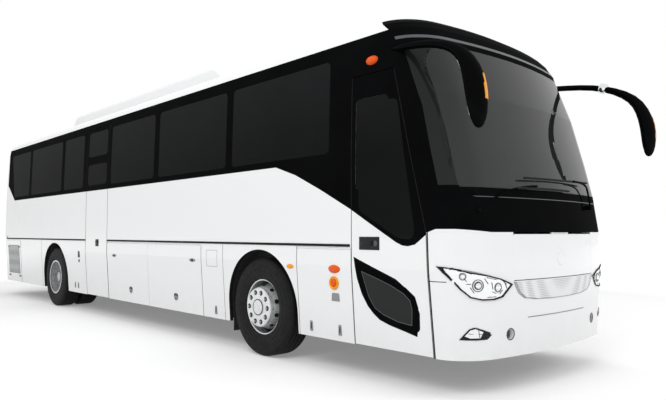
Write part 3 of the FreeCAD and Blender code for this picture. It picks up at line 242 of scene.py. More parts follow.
# Each finish: its material, the record's slot for new pieces, and the CAD nodes that wear it
finishes = {
    "white": (whitePaint(), "white_paint", [
        "right_side_wall", "left_side_wall", "front_bumper", "front_lid", "rear_wall", "engine_lid", "roof",
        "roof_unit", "mid_door_panel", "front_door_panel", "front_service_lid_right",
        "luggage_door_left_front", "luggage_door_left_rear", "luggage_door_right_front",
        "luggage_door_right_rear", "rear_service_lid_left", "rear_service_lid_right"]),
    "black": (blackPaint(), "black_paint", [
        "right_window_band", "left_window_band", "windscreen_frame", "front_dome", "mirrors"]),
    "sideGlass": (sideWindows(), "tinted_glass", ["body_windows", "front_door_glass", "mid_door_glass"]),
    "screenGlass": (windscreenGlass("laminatedScreenGlass", 0.55), "clear_glass", ["windscreen"]),
    "screenWrap": (windscreenGlass("backedScreenGlass", 0.0), "clear_glass", []),
    "lampGlass": (clearCover(), "lamp_lens", ["front_lamps"]),
    "tyre": (rubber("roadTyreRubber", "#0E0E0F", 0.10, "#3A3938"), "tyre_rubber", [
        "tyre_front_left", "tyre_front_right", "tyres_rear_left", "tyres_rear_right"]),
    # seal also paints the shade in the front rims' wells, hand holes, hub and flange
    "seal": (rubber("extrudedSealRubber", "#0A0A0B", 0.05), "tyre_rubber", []),
    "silver": (silverPaint(), "silver_steel", [
        "rim_front_left", "rim_front_right", "rims_rear_left", "rims_rear_right"]),
    "chrome": (metal("chromePlate", "#E4E6E8", 0.06), "silver_steel", []),
    "steel": (metal("zincPlatedSteel", "#A9ABAC", 0.32, 6.0), "silver_steel", []),
    "dark": (plastic("grainedBlackABS", "#0D0E0F", 0.42), "dark_plastic", [
        "dashboard", "steering_wheel", "wipers"]),
    # grey also paints the shade in the crease over the plate
    "grey": (plastic("mouldedGreyABS", "#8E9192", 0.45), "dark_plastic", []),
    "mirrorGlass": (metal("silveredMirrorGlass", "#F2F4F5", 0.02), "silver_steel", []),
    "amber": (lens("amberAcrylicLens", "#FFA400"), "lamp_lens", []),
    "red": (lens("redAcrylicLens", "#B0140E"), "red_lens", ["tail_lamps"]),
    "orange": (lens("orangeAcrylicLens", "#F25A08"), "lamp_lens", []),
    "reflector": (metal("aluminisedReflector", "#E2E4E6", 0.30), "silver_steel", []),
    "mesh": (perforatedMesh("silverExpandedMesh", "#E2E3E4", "#A9ABAC"), "silver_steel", []),
    # darkMesh also paints the shadow at the ends of the nose mesh
    "darkMesh": (perforatedMesh("greyExpandedMesh", "#A4A6A7", "#6B6D6E"), "silver_steel", []),
    # satin also paints the highlight along the windscreen's brow
    "satin": (plastic("satinGreyMoulding", "#55585B", 0.3), "dark_plastic", []),
    "cloth": (seatCloth(), "seat_cloth", ["seats"]),
    "chassis": (chassisPaint(), "chassis_black", [
        "front_axle", "rear_axle", "chassis_frame", "wheel_housings", "knuckle_left", "knuckle_right",
        "tie_rod", "luggage_bay", "front_door_arm", "mid_door_arm"]),
    "iron": (castIron(), "engine_iron", ["engine"]),
    "vinyl": (floorCovering(), "floor_grey", ["cabin_floor"]),
}
for material, slot, nodes in finishes.values():
    for node in nodes:
        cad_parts[node].data.materials.clear()
        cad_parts[node].data.materials.append(material)
print("materials ready")


# Ways of working that every piece shares
def objectMode():
    bpy.ops.object.mode_set(mode="OBJECT")


def deselect():
    if bpy.context.object and bpy.context.object.mode != "OBJECT":
        objectMode()
    bpy.ops.object.select_all(action="DESELECT")


def only(piece):
    deselect()
    piece.select_set(True)
    bpy.context.view_layer.objects.active = piece


def edit(piece, kind="FACE", action="SELECT"):
    only(piece)
    bpy.ops.object.mode_set(mode="EDIT")
    bpy.ops.mesh.select_mode(type=kind)
    bpy.ops.mesh.select_all(action=action)


def applied(piece, kind, **settings):
    only(piece)
    modifier = piece.modifiers.new(kind.title(), kind)
    for key, value in settings.items():
        setattr(modifier, key, value)
    bpy.ops.object.modifier_apply(modifier=modifier.name)
    return piece


def thickened(piece, thickness):
    return applied(piece, "SOLIDIFY", thickness=thickness, offset=1.0)


def settle(piece):
    only(piece)
    bpy.ops.object.transform_apply(location=True, rotation=True, scale=True)


def moved(piece, shift):
    piece.location = shift
    settle(piece)
    return piece


def newObject(name, data):
    made = bpy.data.objects.new(name, data)
    bpy.context.scene.collection.objects.link(made)
    return made


def joined(name, parts):
    deselect()
    for part in parts:
        part.select_set(True)
    bpy.context.view_layer.objects.active = parts[0]
    if len(parts) > 1:
        bpy.ops.object.join()
    parts[0].name = name
    return parts[0]


def finished(name, parts, body, finish, angle=35.0):
    # the parts as one named piece, with its finish and the body that it rides on
    piece = joined(name, parts)
    settle(piece)
    material, usualSlot, nodes = finishes[finish]
    piece.data.materials.clear()
    piece.data.materials.append(material)
    bpy.ops.object.shade_smooth_by_angle(angle=math.radians(angle))
    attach(piece, body)
    return piece


def cube(low, high):
    middle = [(a + b) / 2 for a, b in zip(low, high)]
    deselect()
    bpy.ops.mesh.primitive_cube_add(size=1.0, location=middle, scale=[b - a for a, b in zip(low, high)])
    piece = bpy.context.object
    settle(piece)
    return piece


def roundedBox(low, high, bevel, segments=3):
    return applied(cube(low, high), "BEVEL", width=bevel, segments=segments, limit_method="NONE")


def upright(normal):
    # the turn that stands a part on a surface
    return normal.to_track_quat("Z", "Y").to_euler()


def roundBar(start, end, radius, corners=16, bevel=0.0):
    start, end = Vector(start), Vector(end)
    deselect()
    middle, length = (start + end) / 2, (end - start).length
    bpy.ops.mesh.primitive_cylinder_add(vertices=corners, radius=radius, depth=length, location=middle)
    piece = bpy.context.object
    piece.rotation_euler = upright(end - start)
    settle(piece)
    if bevel:
        applied(piece, "BEVEL", width=bevel, segments=2, limit_method="ANGLE")
    return piece


def bars(points, radius):
    # straight runs from point to point, as extruded seals are
    return [roundBar(start, end, radius, 8) for start, end in zip(points, points[1:])]


def ring(place, turn, radius, thickness, around=40, across=10):
    deselect()
    bpy.ops.mesh.primitive_torus_add(major_radius=radius, minor_radius=thickness, major_segments=around,
                                     minor_segments=across, location=place, rotation=turn)
    piece = bpy.context.object
    settle(piece)
    return piece


def dome(place, halfSizes, turn=(0.0, 0.0, 0.0)):
    # a shallow dome, half sunk in the panel that it stands on
    deselect()
    bpy.ops.mesh.primitive_uv_sphere_add(segments=32, ring_count=16, radius=1.0)
    piece = bpy.context.object
    piece.scale = halfSizes
    piece.rotation_euler = turn
    return moved(piece, place)


def spun(points, axisPoint, steps=72):
    # a profile of (across, radius) drawn point by point and turned round an axis along Y
    deselect()
    bpy.ops.mesh.primitive_plane_add(size=0.001)
    piece = bpy.context.object
    edit(piece)
    bpy.ops.mesh.merge(type="CENTER")
    bpy.ops.mesh.select_mode(type="VERT")
    bpy.ops.mesh.select_all(action="SELECT")
    bpy.ops.transform.translate(value=(axisPoint[0], points[0][0], axisPoint[2] + points[0][1]))
    for (along, radius), (nextAlong, nextRadius) in zip(points, points[1:]):
        step = (0.0, nextAlong - along, nextRadius - radius)
        bpy.ops.mesh.extrude_vertices_move(TRANSFORM_OT_translate={"value": step})
    bpy.ops.mesh.select_all(action="SELECT")
    bpy.ops.mesh.spin(steps=steps, angle=2 * math.pi, center=axisPoint, axis=(0.0, 1.0, 0.0))
    bpy.ops.mesh.select_all(action="SELECT")
    bpy.ops.mesh.remove_doubles(threshold=0.00005)
    bpy.ops.mesh.normals_make_consistent(inside=False)
    objectMode()
    return piece


def tube(points, radius):
    # a smooth bent bar: a curve with a round bevel, made a mesh
    data = bpy.data.curves.new("bentBar", "CURVE")
    data.dimensions = "3D"
    data.bevel_depth = radius
    data.bevel_resolution = 3
    data.use_fill_caps = True
    line = data.splines.new("NURBS")
    line.points.add(len(points) - 1)
    for spot, place in zip(line.points, points):
        spot.co = (*place, 1.0)
    line.order_u = 3
    line.use_endpoint_u = True
    line.resolution_u = 6
    only(newObject("bentBar", data))
    bpy.ops.object.convert(target="MESH")
    return bpy.context.object


def nodeCopy(node):
    piece = newObject("panelCopy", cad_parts[node].data.copy())
    edit(piece)
    bpy.ops.mesh.remove_doubles(threshold=0.00002)
    objectMode()
    return piece


def keepFaces(piece, wanted):
    # deletes every face that wanted() turns down
    only(piece)
    mesh = piece.data
    for group in (mesh.vertices, mesh.edges, mesh.polygons):
        group.foreach_set("select", [False] * len(group))
    dropped = [not wanted(face) for face in mesh.polygons]
    mesh.polygons.foreach_set("select", dropped)
    if any(dropped):
        bpy.ops.object.mode_set(mode="EDIT")
        bpy.ops.mesh.select_mode(type="FACE")
        bpy.ops.mesh.delete(type="FACE")
        objectMode()


def trimmed(piece, planes):
    # cuts a piece down to what lies behind every plane, each a point and its outward normal
    for point, normal in planes:
        edit(piece)
        bpy.ops.mesh.bisect(plane_co=point, plane_no=normal, threshold=0.00001, clear_outer=True,
                            clear_inner=False)
        objectMode()
    return piece


def skin(node, planes, facing, thickness, least=0.25):
    # the outer face of a CAD panel inside some planes, thickened outwards, so that it follows the panel
    piece = trimmed(nodeCopy(node), planes)
    keepFaces(piece, lambda face: face.normal.dot(Vector(facing)) > least)
    return thickened(piece, thickness)


def span(axis, low, high):
    # two planes that keep what lies between low and high along an axis
    normal = Vector([float(i == axis) for i in range(3)])
    return [(normal * low, -normal), (normal * high, normal)]


def beyond(side, reach=0.0):
    # the plane that keeps what lies further out than reach, on one side of the coach
    return (0.0, side * reach, 0.0), (0.0, -side, 0.0)


def slope(start, end):
    # the plane along a line from (x, z) to (x, z) that keeps what is on its left, with x to the right and z up
    return (start[0], 0.0, start[1]), (end[1] - start[1], 0.0, start[0] - end[0])


def panelStrips(node, places, side, proud):
    # strips of a side panel's own face, each from low x to high x and from low z to high z
    return [skin(node, span(0, *place[:2]) + span(2, *place[2:]), (0, side, 0), proud) for place in places]


wallLevels = [(panelFoot, 1.225), (1.0, 1.275), (1.98, 1.275), (2.456, 1.264), (2.95, 1.249), (3.07, 1.232)]


def wallAt(z):
    # half width of the side wall at a height, as the panels are drawn
    for (lowZ, lowY), (highZ, highY) in zip(wallLevels, wallLevels[1:]):
        if z <= highZ:
            return lowY + (highY - lowY) * (z - lowZ) / (highZ - lowZ)
    return wallLevels[-1][1]


offBody = (7.0, 2.0)   # along X and along Y, where outlines are drawn and rays start, clear of the coach


def outside(across, height, facing):
    axis = 0 if facing[0] else 1
    spot = Vector((across, across, height))
    spot[axis] = offBody[axis] * facing[axis]
    return spot


def panelAt(target, across, height, facing, proud=0.0):
    # the place on a panel, raised by proud, and the panel's outward normal
    found, place, normal, index = target.ray_cast(outside(across, height, facing), -Vector(facing))
    return place + normal * proud, normal


def carrier(nodes):
    # the panels that an outline is pressed onto, as one passing object
    return joined("carrier", [nodeCopy(node) for node in nodes])


def mirrored(outline, side):
    return [(side * across, height) for across, height in outline]


def pressed(outline, facing, target, lift, pitch, rim=0.0):
    # an outline drawn off the body, cut into small faces, pressed onto the panels and thickened outwards
    axis = 0 if facing[0] else 1
    cutAxis = 1 - axis
    deselect()
    bpy.ops.mesh.primitive_circle_add(vertices=len(outline), radius=1.0, fill_type="NGON")
    piece = bpy.context.object
    for vertex, (across, height) in zip(piece.data.vertices, outline):
        vertex.co = outside(across, height, facing)
    edit(piece)
    if rim:
        bpy.ops.mesh.inset(thickness=rim, depth=0.0)
        bpy.ops.mesh.delete(type="FACE")
    for values, direction in zip(zip(*outline), (cutAxis, 2)):
        low, high = min(values), max(values)
        for k in range(1, int((high - low) / pitch) + 1):
            point, normal = span(direction, low, low + k * pitch)[1]
            bpy.ops.mesh.select_all(action="SELECT")
            bpy.ops.mesh.bisect(plane_co=point, plane_no=normal)
    objectMode()
    towards = facing[axis] > 0
    applied(piece, "SHRINKWRAP", target=target, wrap_method="PROJECT", use_project_x=axis == 0,
            use_project_y=axis == 1, use_negative_direction=towards, use_positive_direction=not towards)
    # points over the gaps between panels stay behind, and take the outermost panel beside them
    for vertex in [v for v in piece.data.vertices if abs(v.co[axis] - offBody[axis] * facing[axis]) < 0.05]:
        for reach in (0.006, 0.012, 0.02, 0.04, 0.08):
            found = []
            for a, b in ((1, 0), (-1, 0), (0, 1), (0, -1), (1, 1), (-1, -1)):
                spot = panelAt(target, vertex.co[cutAxis] + a * reach, vertex.co.z + b * reach, facing)[0]
                found.append(spot[axis] * facing[axis])
            if max(found) > 1.0:
                vertex.co[axis] = max(found) * facing[axis]
                break
    if sum(face.normal[axis] * face.area for face in piece.data.polygons) * facing[axis] < 0:
        edit(piece)
        bpy.ops.mesh.flip_normals()
        objectMode()
    return thickened(piece, lift)


def lofted(rings):
    # one ring after another, each extruded from the one before and moved to its own place
    deselect()
    count = len(rings[0])
    bpy.ops.mesh.primitive_circle_add(vertices=count, radius=1.0)
    piece = bpy.context.object
    for vertex, spot in zip(piece.data.vertices, rings[0]):
        vertex.co = spot
    for before, after in zip(rings, rings[1:]):
        known = len(piece.data.vertices)
        edit(piece, "VERT", "DESELECT")
        objectMode()
        for vertex in piece.data.vertices:
            vertex.select = any((vertex.co - spot).length < 1e-6 for spot in before)
        bpy.ops.object.mode_set(mode="EDIT")
        bpy.ops.mesh.extrude_region_move()
        objectMode()
        for vertex in list(piece.data.vertices)[known:]:
            nearest = min(range(count), key=lambda i: (vertex.co - before[i]).length)
            vertex.co = after[nearest]
    edit(piece, "VERT")
    bpy.ops.mesh.fill_holes(sides=0)
    bpy.ops.mesh.normals_make_consistent(inside=False)
    objectMode()
    return piece


# Side trim: the black strip along the waist, and the seams of the skirt panels
sideTrim = {"waist": (1.178, 1.202), "reach": (-6.0, 4.60), "proud": 0.006, "seams": (-3.684, 2.516, 3.846),
            "seamHalf": 0.0025, "seamFoot": 0.30, "seamHead": 1.176, "seamProud": 0.0008}
for side, word in sides:
    wall = word.lower() + "_side_wall"
    planes = span(2, *sideTrim["waist"]) + span(0, *sideTrim["reach"])
    finished("waistTrim" + word, [skin(wall, planes, (0, side, 0), sideTrim["proud"])], "coach_body", "seal")
    half = sideTrim["seamHalf"]
    places = [(x - half, x + half, sideTrim["seamFoot"], sideTrim["seamHead"]) for x in sideTrim["seams"]]
    seams = panelStrips(wall, places, side, sideTrim["seamProud"])
    finished("skirtSeams" + word, seams, "coach_body", "seal")
print("side trim ready")

# Black upper parts of the two doors, along the band's lower edge, and white corners under the windscreen
doorBlack = {"edge": [(4.616, 1.513), (4.80, 1.4125), (5.15, 1.2255), (5.216, 1.200), (5.28, 1.194),
                      (5.354, 1.210), (5.407, 1.246), (5.471, 1.292)], "midFoot": 1.98, "proud": 0.0015}
corner = {"foot": 1.30, "head": 1.334, "proud": 0.0012, "rearPlace": (5.475, 0, 1.305),
          "rearNormal": (-0.33, 0, 1.0), "innerPlace": (0.93, 1.309), "innerFall": 0.089}
planes = [slope(start, end) for start, end in zip(doorBlack["edge"], doorBlack["edge"][1:])]
part = skin("front_door_panel", planes, rightward, doorBlack["proud"])
finished("frontDoorBlack", [part], "front_door", "black")
part = skin("mid_door_panel", span(2, doorBlack["midFoot"], farUp), rightward, doorBlack["proud"])
finished("midDoorBlack", [part], "mid_door", "black")
for side, word in sides:
    across, height = corner["innerPlace"]
    inner = (0, side * across, height), (0, -side * corner["innerFall"], 1.0)
    planes = span(2, corner["foot"], corner["head"])
    planes += [(corner["rearPlace"], corner["rearNormal"]), inner, beyond(side)]
    part = skin("windscreen_frame", planes, (0.5, side, 0), corner["proud"], 0.1)
    finished("noseCorner" + word, [part], "coach_body", "white")
print("door panels ready")

# Windscreen: black fired border at foot and head, glass that wraps round to the doors, a grey strip along the
# brow that is a painted highlight, and a grey seam line at the foot of the glass
screen = {"foot": (1.0, 1.668), "head": (2.905, farUp), "borderProud": 0.0012, "wrapInner": 0.95,
          "wrapProud": 0.0015,
          "wraps": [((5.246, 2.779), (5.413, 2.349), 2.349, 2.895),
                    ((5.413, 2.349), (5.574, 1.683), 1.683, 2.349)],
          "browHighlightAndFootSeam": [("browHighlight", "windscreen_frame", 2.957, 2.985, 0.005, 0.2),
                        ("screenFootSeam", "windscreen", 1.5905, 1.597, 0.0018, 0.1)]}
proud = screen["borderProud"]
parts = [skin("windscreen", span(2, *screen[edge]), ahead, proud, 0.1) for edge in ("foot", "head")]
finished("screenBorder", parts, "coach_body", "black")
wraps = []
for side, word in sides:
    for start, end, foot, head in screen["wraps"]:
        planes = span(2, foot, head) + [slope(start, end), beyond(side, screen["wrapInner"])]
        wraps.append(skin("windscreen_frame", planes, (0.6, side, 0), screen["wrapProud"], 0.1))
finished("screenWrap", wraps, "coach_body", "screenWrap")
# the brow strip is grey as a painted highlight along the brow; the foot seam is a seam line
for name, node, foot, head, proud, least in screen["browHighlightAndFootSeam"]:
    finished(name, [skin(node, span(2, foot, head), ahead, proud, least)], "coach_body", "satin")
print("windscreen ready")

# Seals in the gaps round the doors and lids, which carry them, so that a seam shows as a dark line
seals = {"sunk": 0.013, "flush": 0.0008, "radius": 0.0034, "lidRadius": 0.0033, "doorEdge": 4.6195,
         "doorHead": 2.713, "midDoorEdges": (-1.5505, -0.7075), "midDoorHead": 2.98, "lidHead": 1.142,
         "flushLids": (2.0425, -4.9385), "serviceEdge": 3.8495, "serviceHead": 1.16, "noseGap": 0.0035,
         "lineProud": 0.0010,
         "noseEdge": [(5.502, panelFoot), (5.4809, 1.0), (5.471, 1.31), (5.3055, 1.98), (5.188, 2.456),
                      (5.1245, 2.713)],
         "lids": {"luggage_door_{}_rear": (-0.7005, 0.6365), "luggage_door_{}_front": (2.0425,),
                  "rear_service_lid_{}": (-5.8185, -4.9385)},
         "linePlanes": [((5.5045, 0, panelFoot), (-1.003, 0, -0.031)),
                        ((5.5175, 0, panelFoot), (1.003, 0, 0.031))]}


def gapSeal(x, head, side, depth, radius):
    # a seal up a gap in the side, bent where the wall bends
    heights = [panelFoot] + [level for level, y in wallLevels if panelFoot < level < head] + [head]
    return bars([Vector((x, side * (wallAt(z) - depth), z)) for z in heights], radius)


noseLine = [Vector((x - seals["noseGap"], seals["flush"] - wallAt(z), z)) for x, z in seals["noseEdge"]]
rearSeal = gapSeal(seals["doorEdge"], seals["doorHead"], -1, seals["flush"], seals["radius"])
finished("frontDoorSeal", bars(noseLine, seals["radius"]) + rearSeal, "front_door", "seal")
midSeals = []
for x in seals["midDoorEdges"]:
    midSeals += gapSeal(x, seals["midDoorHead"], -1, seals["flush"], seals["radius"])
finished("midDoorSeal", midSeals, "mid_door", "seal")
for side, word in sides:
    for body, places in seals["lids"].items():
        body = body.format(word.lower())
        runs = []
        for x in places:
            depth = seals["flush"] if x in seals["flushLids"] else seals["sunk"]
            runs += gapSeal(x, seals["lidHead"], side, depth, seals["lidRadius"])
        finished(body + "_seal", runs, body, "seal")
runs = gapSeal(seals["serviceEdge"], seals["serviceHead"], -1, seals["sunk"], seals["lidRadius"])
finished("serviceLidSeal", runs, "front_service_lid_right", "seal")
part = skin("front_bumper", seals["linePlanes"] + [beyond(-1)], rightward, seals["lineProud"])
finished("doorSeamLine", [part], "coach_body", "seal")

# White lips that close the nose lid's gap to the panels beside and above it
lip = {"reach": 0.6745, "aside": 0.0078, "back": -0.0011, "heights": (1.2800, 1.2877),
       "up": (-0.0004, 0.0, 0.0060), "proud": 0.0006}
lips = []
for side, word in sides:
    part = skin("front_lid", [beyond(side, lip["reach"])], ahead, lip["proud"])
    lips.append(moved(part, (lip["back"], side * lip["aside"], 0.0)))
lips.append(moved(skin("front_lid", span(2, *lip["heights"]), ahead, lip["proud"]), lip["up"]))
finished("noseLidLips", lips, "front_lid", "white")
print("seals ready")

# Wheel arches: the cut edge of the side walls lined in black rubber
arch = {"inner": 0.600, "outer": 0.615, "thickness": 0.003}


def onArch(face):
    for x in (frontAxle, rearAxle):
        across, up = face.center.x - x, face.center.z - wheelHeight
        reach = math.hypot(across, up) if up > 0 else abs(across)
        if arch["inner"] < reach < arch["outer"] and abs(face.normal.y) < 0.5:
            return face.normal.x * -across + face.normal.z * -max(up, 0.0) > 0
    return False


for side, word in sides:
    liner = nodeCopy(word.lower() + "_side_wall")
    keepFaces(liner, onArch)
    finished("archLiner" + word, [thickened(liner, arch["thickness"])], "coach_body", "seal")
print("arches ready")

# Headlamps and fog lamps on the outer face of their covers: outlines, reflectors, bowls and fine lines
lamps = {"outline": [(1.273, 1.041), (1.234, 1.031), (1.131, 0.998), (0.990, 0.972), (0.859, 0.943),
                     (0.713, 0.892), (0.764, 0.847), (0.826, 0.793), (0.919, 0.776), (1.033, 0.777),
                     (1.122, 0.799), (1.183, 0.861), (1.233, 0.938), (1.262, 0.996)],
         "fog": [(1.167, 0.472), (1.145, 0.512), (1.116, 0.554), (1.084, 0.568), (1.022, 0.550),
                 (0.947, 0.523), (0.950, 0.503), (0.994, 0.471), (1.050, 0.467)],
         "fogBright": [(1.140, 0.502), (1.109, 0.547), (1.076, 0.557), (1.013, 0.531), (1.035, 0.485),
                       (1.106, 0.485)],
         "rings": [(1.070, 0.893, 0.046), (1.070, 0.893, 0.030), (0.880, 0.872, 0.036),
                   (1.175, 0.965, 0.026)],
         "bowls": [(1.070, 0.893, 0.027, 0.020), (0.880, 0.872, 0.030, 0.014), (1.175, 0.965, 0.020, 0.012)],
         "lines": [((1.205, 1.010), (1.120, 0.985)), ((1.000, 0.955), (0.900, 0.935)),
                   ((0.985, 0.800), (0.900, 0.800)), ((0.950, 0.915), (0.935, 0.860)),
                   ((0.800, 0.900), (0.780, 0.862)), ((1.190, 0.990), (1.150, 0.925)),
                   ((1.125, 0.880), (1.095, 0.835)), ((0.940, 0.840), (0.900, 0.826)),
                   ((1.020, 0.948), (0.985, 0.905)), ((0.830, 0.925), (0.785, 0.893)),
                   ((1.150, 0.905), (1.120, 0.905)), ((0.860, 0.822), (0.830, 0.850))],
         "fogLines": [((1.118, 0.520), (1.022, 0.512)), ((1.052, 0.549), (1.040, 0.488))],
         "pitch": 0.016, "fogPitch": 0.02, "ringThickness": 0.0035, "ringProud": 0.003, "bowlProud": 0.002,
         "layers": [("headlampReflectors", 0.002, 0.0), ("headlampOutlines", 0.009, 0.010)],
         "fogLayers": [("fogLampFrames", "fog", 0.004), ("fogLampReflectors", "fogBright", 0.007)],
         "lineLooks": [("lines", 0.003, 0.0032), ("fogLines", 0.0075, 0.0028)]}
nose = {"mesh": [(0.700, 0.910), (0.640, 0.815), (0.560, 0.770), (0.400, 0.752), (0.190, 0.745)],
        "meshHead": 0.912, "meshInnerShare": 0.955, "meshPitch": 0.03, "shadowLayerLift": 0.003, "meshLift": 0.006,
        "crease": (0.606, 0.614), "creaseReach": (-0.505, 0.48), "creaseProud": 0.0012,
        "joint": (0.9165, 0.9225), "jointReach": (5.0, 5.64), "jointProud": 0.0010, "badge": (0.0, 1.090),
        "badgeRadius": 0.070, "badgeDome": 0.004, "badgeRim": 0.0025, "tow": (0.72, 0.49), "towProbe": 0.050,
        "towProud": 0.006, "towRing": (0.046, 0.0045), "socketFace": 5.8405, "socketRing": (0.029, 0.012)}
noseSkin = carrier(["front_bumper", "front_lamps", "front_lid"])
noseFinishes = {"headlampReflectors": "reflector", "headlampOutlines": "seal", "headlampDetails": "satin",
                "headlampBowls": "chrome", "fogLampFrames": "dark", "fogLampReflectors": "chrome",
                "towSocketRings": "satin", "noseJoints": "seal"}
noseParts = {name: [] for name in noseFinishes}
for side, word in sides:
    outline = mirrored(lamps["outline"], side)
    for name, lift, rim in lamps["layers"]:
        noseParts[name].append(pressed(outline, ahead, noseSkin, lift, lamps["pitch"], rim))
    for across, height, radius in lamps["rings"]:
        place, normal = panelAt(noseSkin, side * across, height, ahead, lamps["ringProud"])
        noseParts["headlampDetails"].append(ring(place, upright(normal), radius, lamps["ringThickness"]))
    for across, height, radius, depth in lamps["bowls"]:
        place, normal = panelAt(noseSkin, side * across, height, ahead, lamps["bowlProud"])
        noseParts["headlampBowls"].append(dome(place, (radius, radius, depth), upright(normal)))
    for lines, proud, radius in lamps["lineLooks"]:
        for line in lamps[lines]:
            ends = [panelAt(noseSkin, side * across, height, ahead, proud)[0] for across, height in line]
            noseParts["headlampDetails"].append(roundBar(*ends, radius, 8))
    for name, key, lift in lamps["fogLayers"]:
        outline = mirrored(lamps[key], side)
        noseParts[name].append(pressed(outline, ahead, noseSkin, lift, lamps["fogPitch"]))
    across, height = nose["tow"]
    place, normal = panelAt(noseSkin, side * (across + nose["towProbe"]), height, ahead)
    place = Vector((place.x + nose["towProud"], side * across, height))
    noseParts["towSocketRings"].append(ring(place, upright(normal), *nose["towRing"]))
    place = Vector((nose["socketFace"], side * across, height))
    noseParts["towSocketRings"].append(ring(place, upright(Vector(ahead)), *nose["socketRing"]))
    planes = span(2, *nose["joint"]) + span(0, *nose["jointReach"]) + [beyond(side)]
    noseParts["noseJoints"].append(skin("front_bumper", planes, (0.4, side, 0), nose["jointProud"], 0.2))
for name, parts in noseParts.items():
    finished(name, parts, "coach_body", noseFinishes[name])
print("lamps ready")

# Nose: silver mesh that tapers towards the headlamps over a darker grey layer painted as shadow at its ends
# and foot, a grey line painted as shade in the crease over the plate, and a blank round badge
# the darker grey layer under the mesh shows at its ends and along its foot: painted shadow
outline = nose["mesh"] + mirrored(reversed(nose["mesh"]), -1)
part = pressed(outline, ahead, noseSkin, nose["shadowLayerLift"], nose["meshPitch"])
finished("Circle", [part], "coach_body", "darkMesh")
share, head = nose["meshInnerShare"], nose["meshHead"]
inner = [(across * share, head - (head - height) * share) for across, height in outline]
part = pressed(inner, ahead, noseSkin, nose["meshLift"], nose["meshPitch"])
finished("Circle.001", [part], "coach_body", "mesh")
# a grey strip along the crease over the plate: painted shade
planes = span(2, *nose["crease"]) + span(1, *nose["creaseReach"])
part = skin("front_bumper", planes, ahead, nose["creaseProud"])
finished("plateCreaseShade", [part], "coach_body", "grey")
place, normal = panelAt(noseSkin, *nose["badge"], ahead)
radius = nose["badgeRadius"]
parts = [dome(place, (radius, radius, nose["badgeDome"]), upright(normal))]
parts.append(ring(place, upright(normal), radius, nose["badgeRim"]))
finished("blankBadge", parts, "front_lid", "white")
bpy.data.objects.remove(noseSkin, do_unlink=True)
print("nose ready")

# Front door: the leaf shaped window in its broad black frame, its pane and bead, and the long pane above it
leaf = {"frame": [(4.647, 1.092), (4.849, 1.013), (5.076, 0.924), (5.247, 0.851), (5.338, 0.784),
                  (5.367, 0.697), (5.360, 0.566), (5.341, 0.459), (5.222, 0.486), (5.047, 0.522),
                  (4.935, 0.556), (4.868, 0.601), (4.800, 0.664), (4.734, 0.764), (4.682, 0.903)],
        "pane": [(4.742, 0.968), (4.915, 0.918), (5.073, 0.868), (5.223, 0.803), (5.287, 0.750),
                 (5.305, 0.676), (5.294, 0.544), (5.140, 0.560), (4.985, 0.603), (4.884, 0.654),
                 (4.815, 0.753)],
        "upper": [(4.712, 2.430), (4.730, 2.462), (4.775, 2.480), (5.130, 2.445), (5.160, 2.430),
                  (5.173, 2.395), (5.350, 1.330), (5.342, 1.285), (5.300, 1.252), (5.200, 1.258),
                  (5.140, 1.278), (4.765, 1.478), (4.728, 1.508), (4.712, 1.545)],
        "layers": [("Circle.002", "frame", "black", 0.002, 0.05, 0.0),
                   ("Circle.003", "pane", "screenWrap", 0.003, 0.05, 0.0),
                   ("Circle.004", "pane", "satin", 0.004, 0.05, 0.005),
                   ("Circle.005", "upper", "sideGlass", 0.0028, 0.08, 0.0)]}
doorSkin = carrier(["front_door_panel", "front_door_glass"])
for name, outline, finish, lift, pitch, rim in leaf["layers"]:
    finished(name, [pressed(leaf[outline], rightward, doorSkin, lift, pitch, rim)], "front_door", finish)
bpy.data.objects.remove(doorSkin, do_unlink=True)
print("leaf window ready")

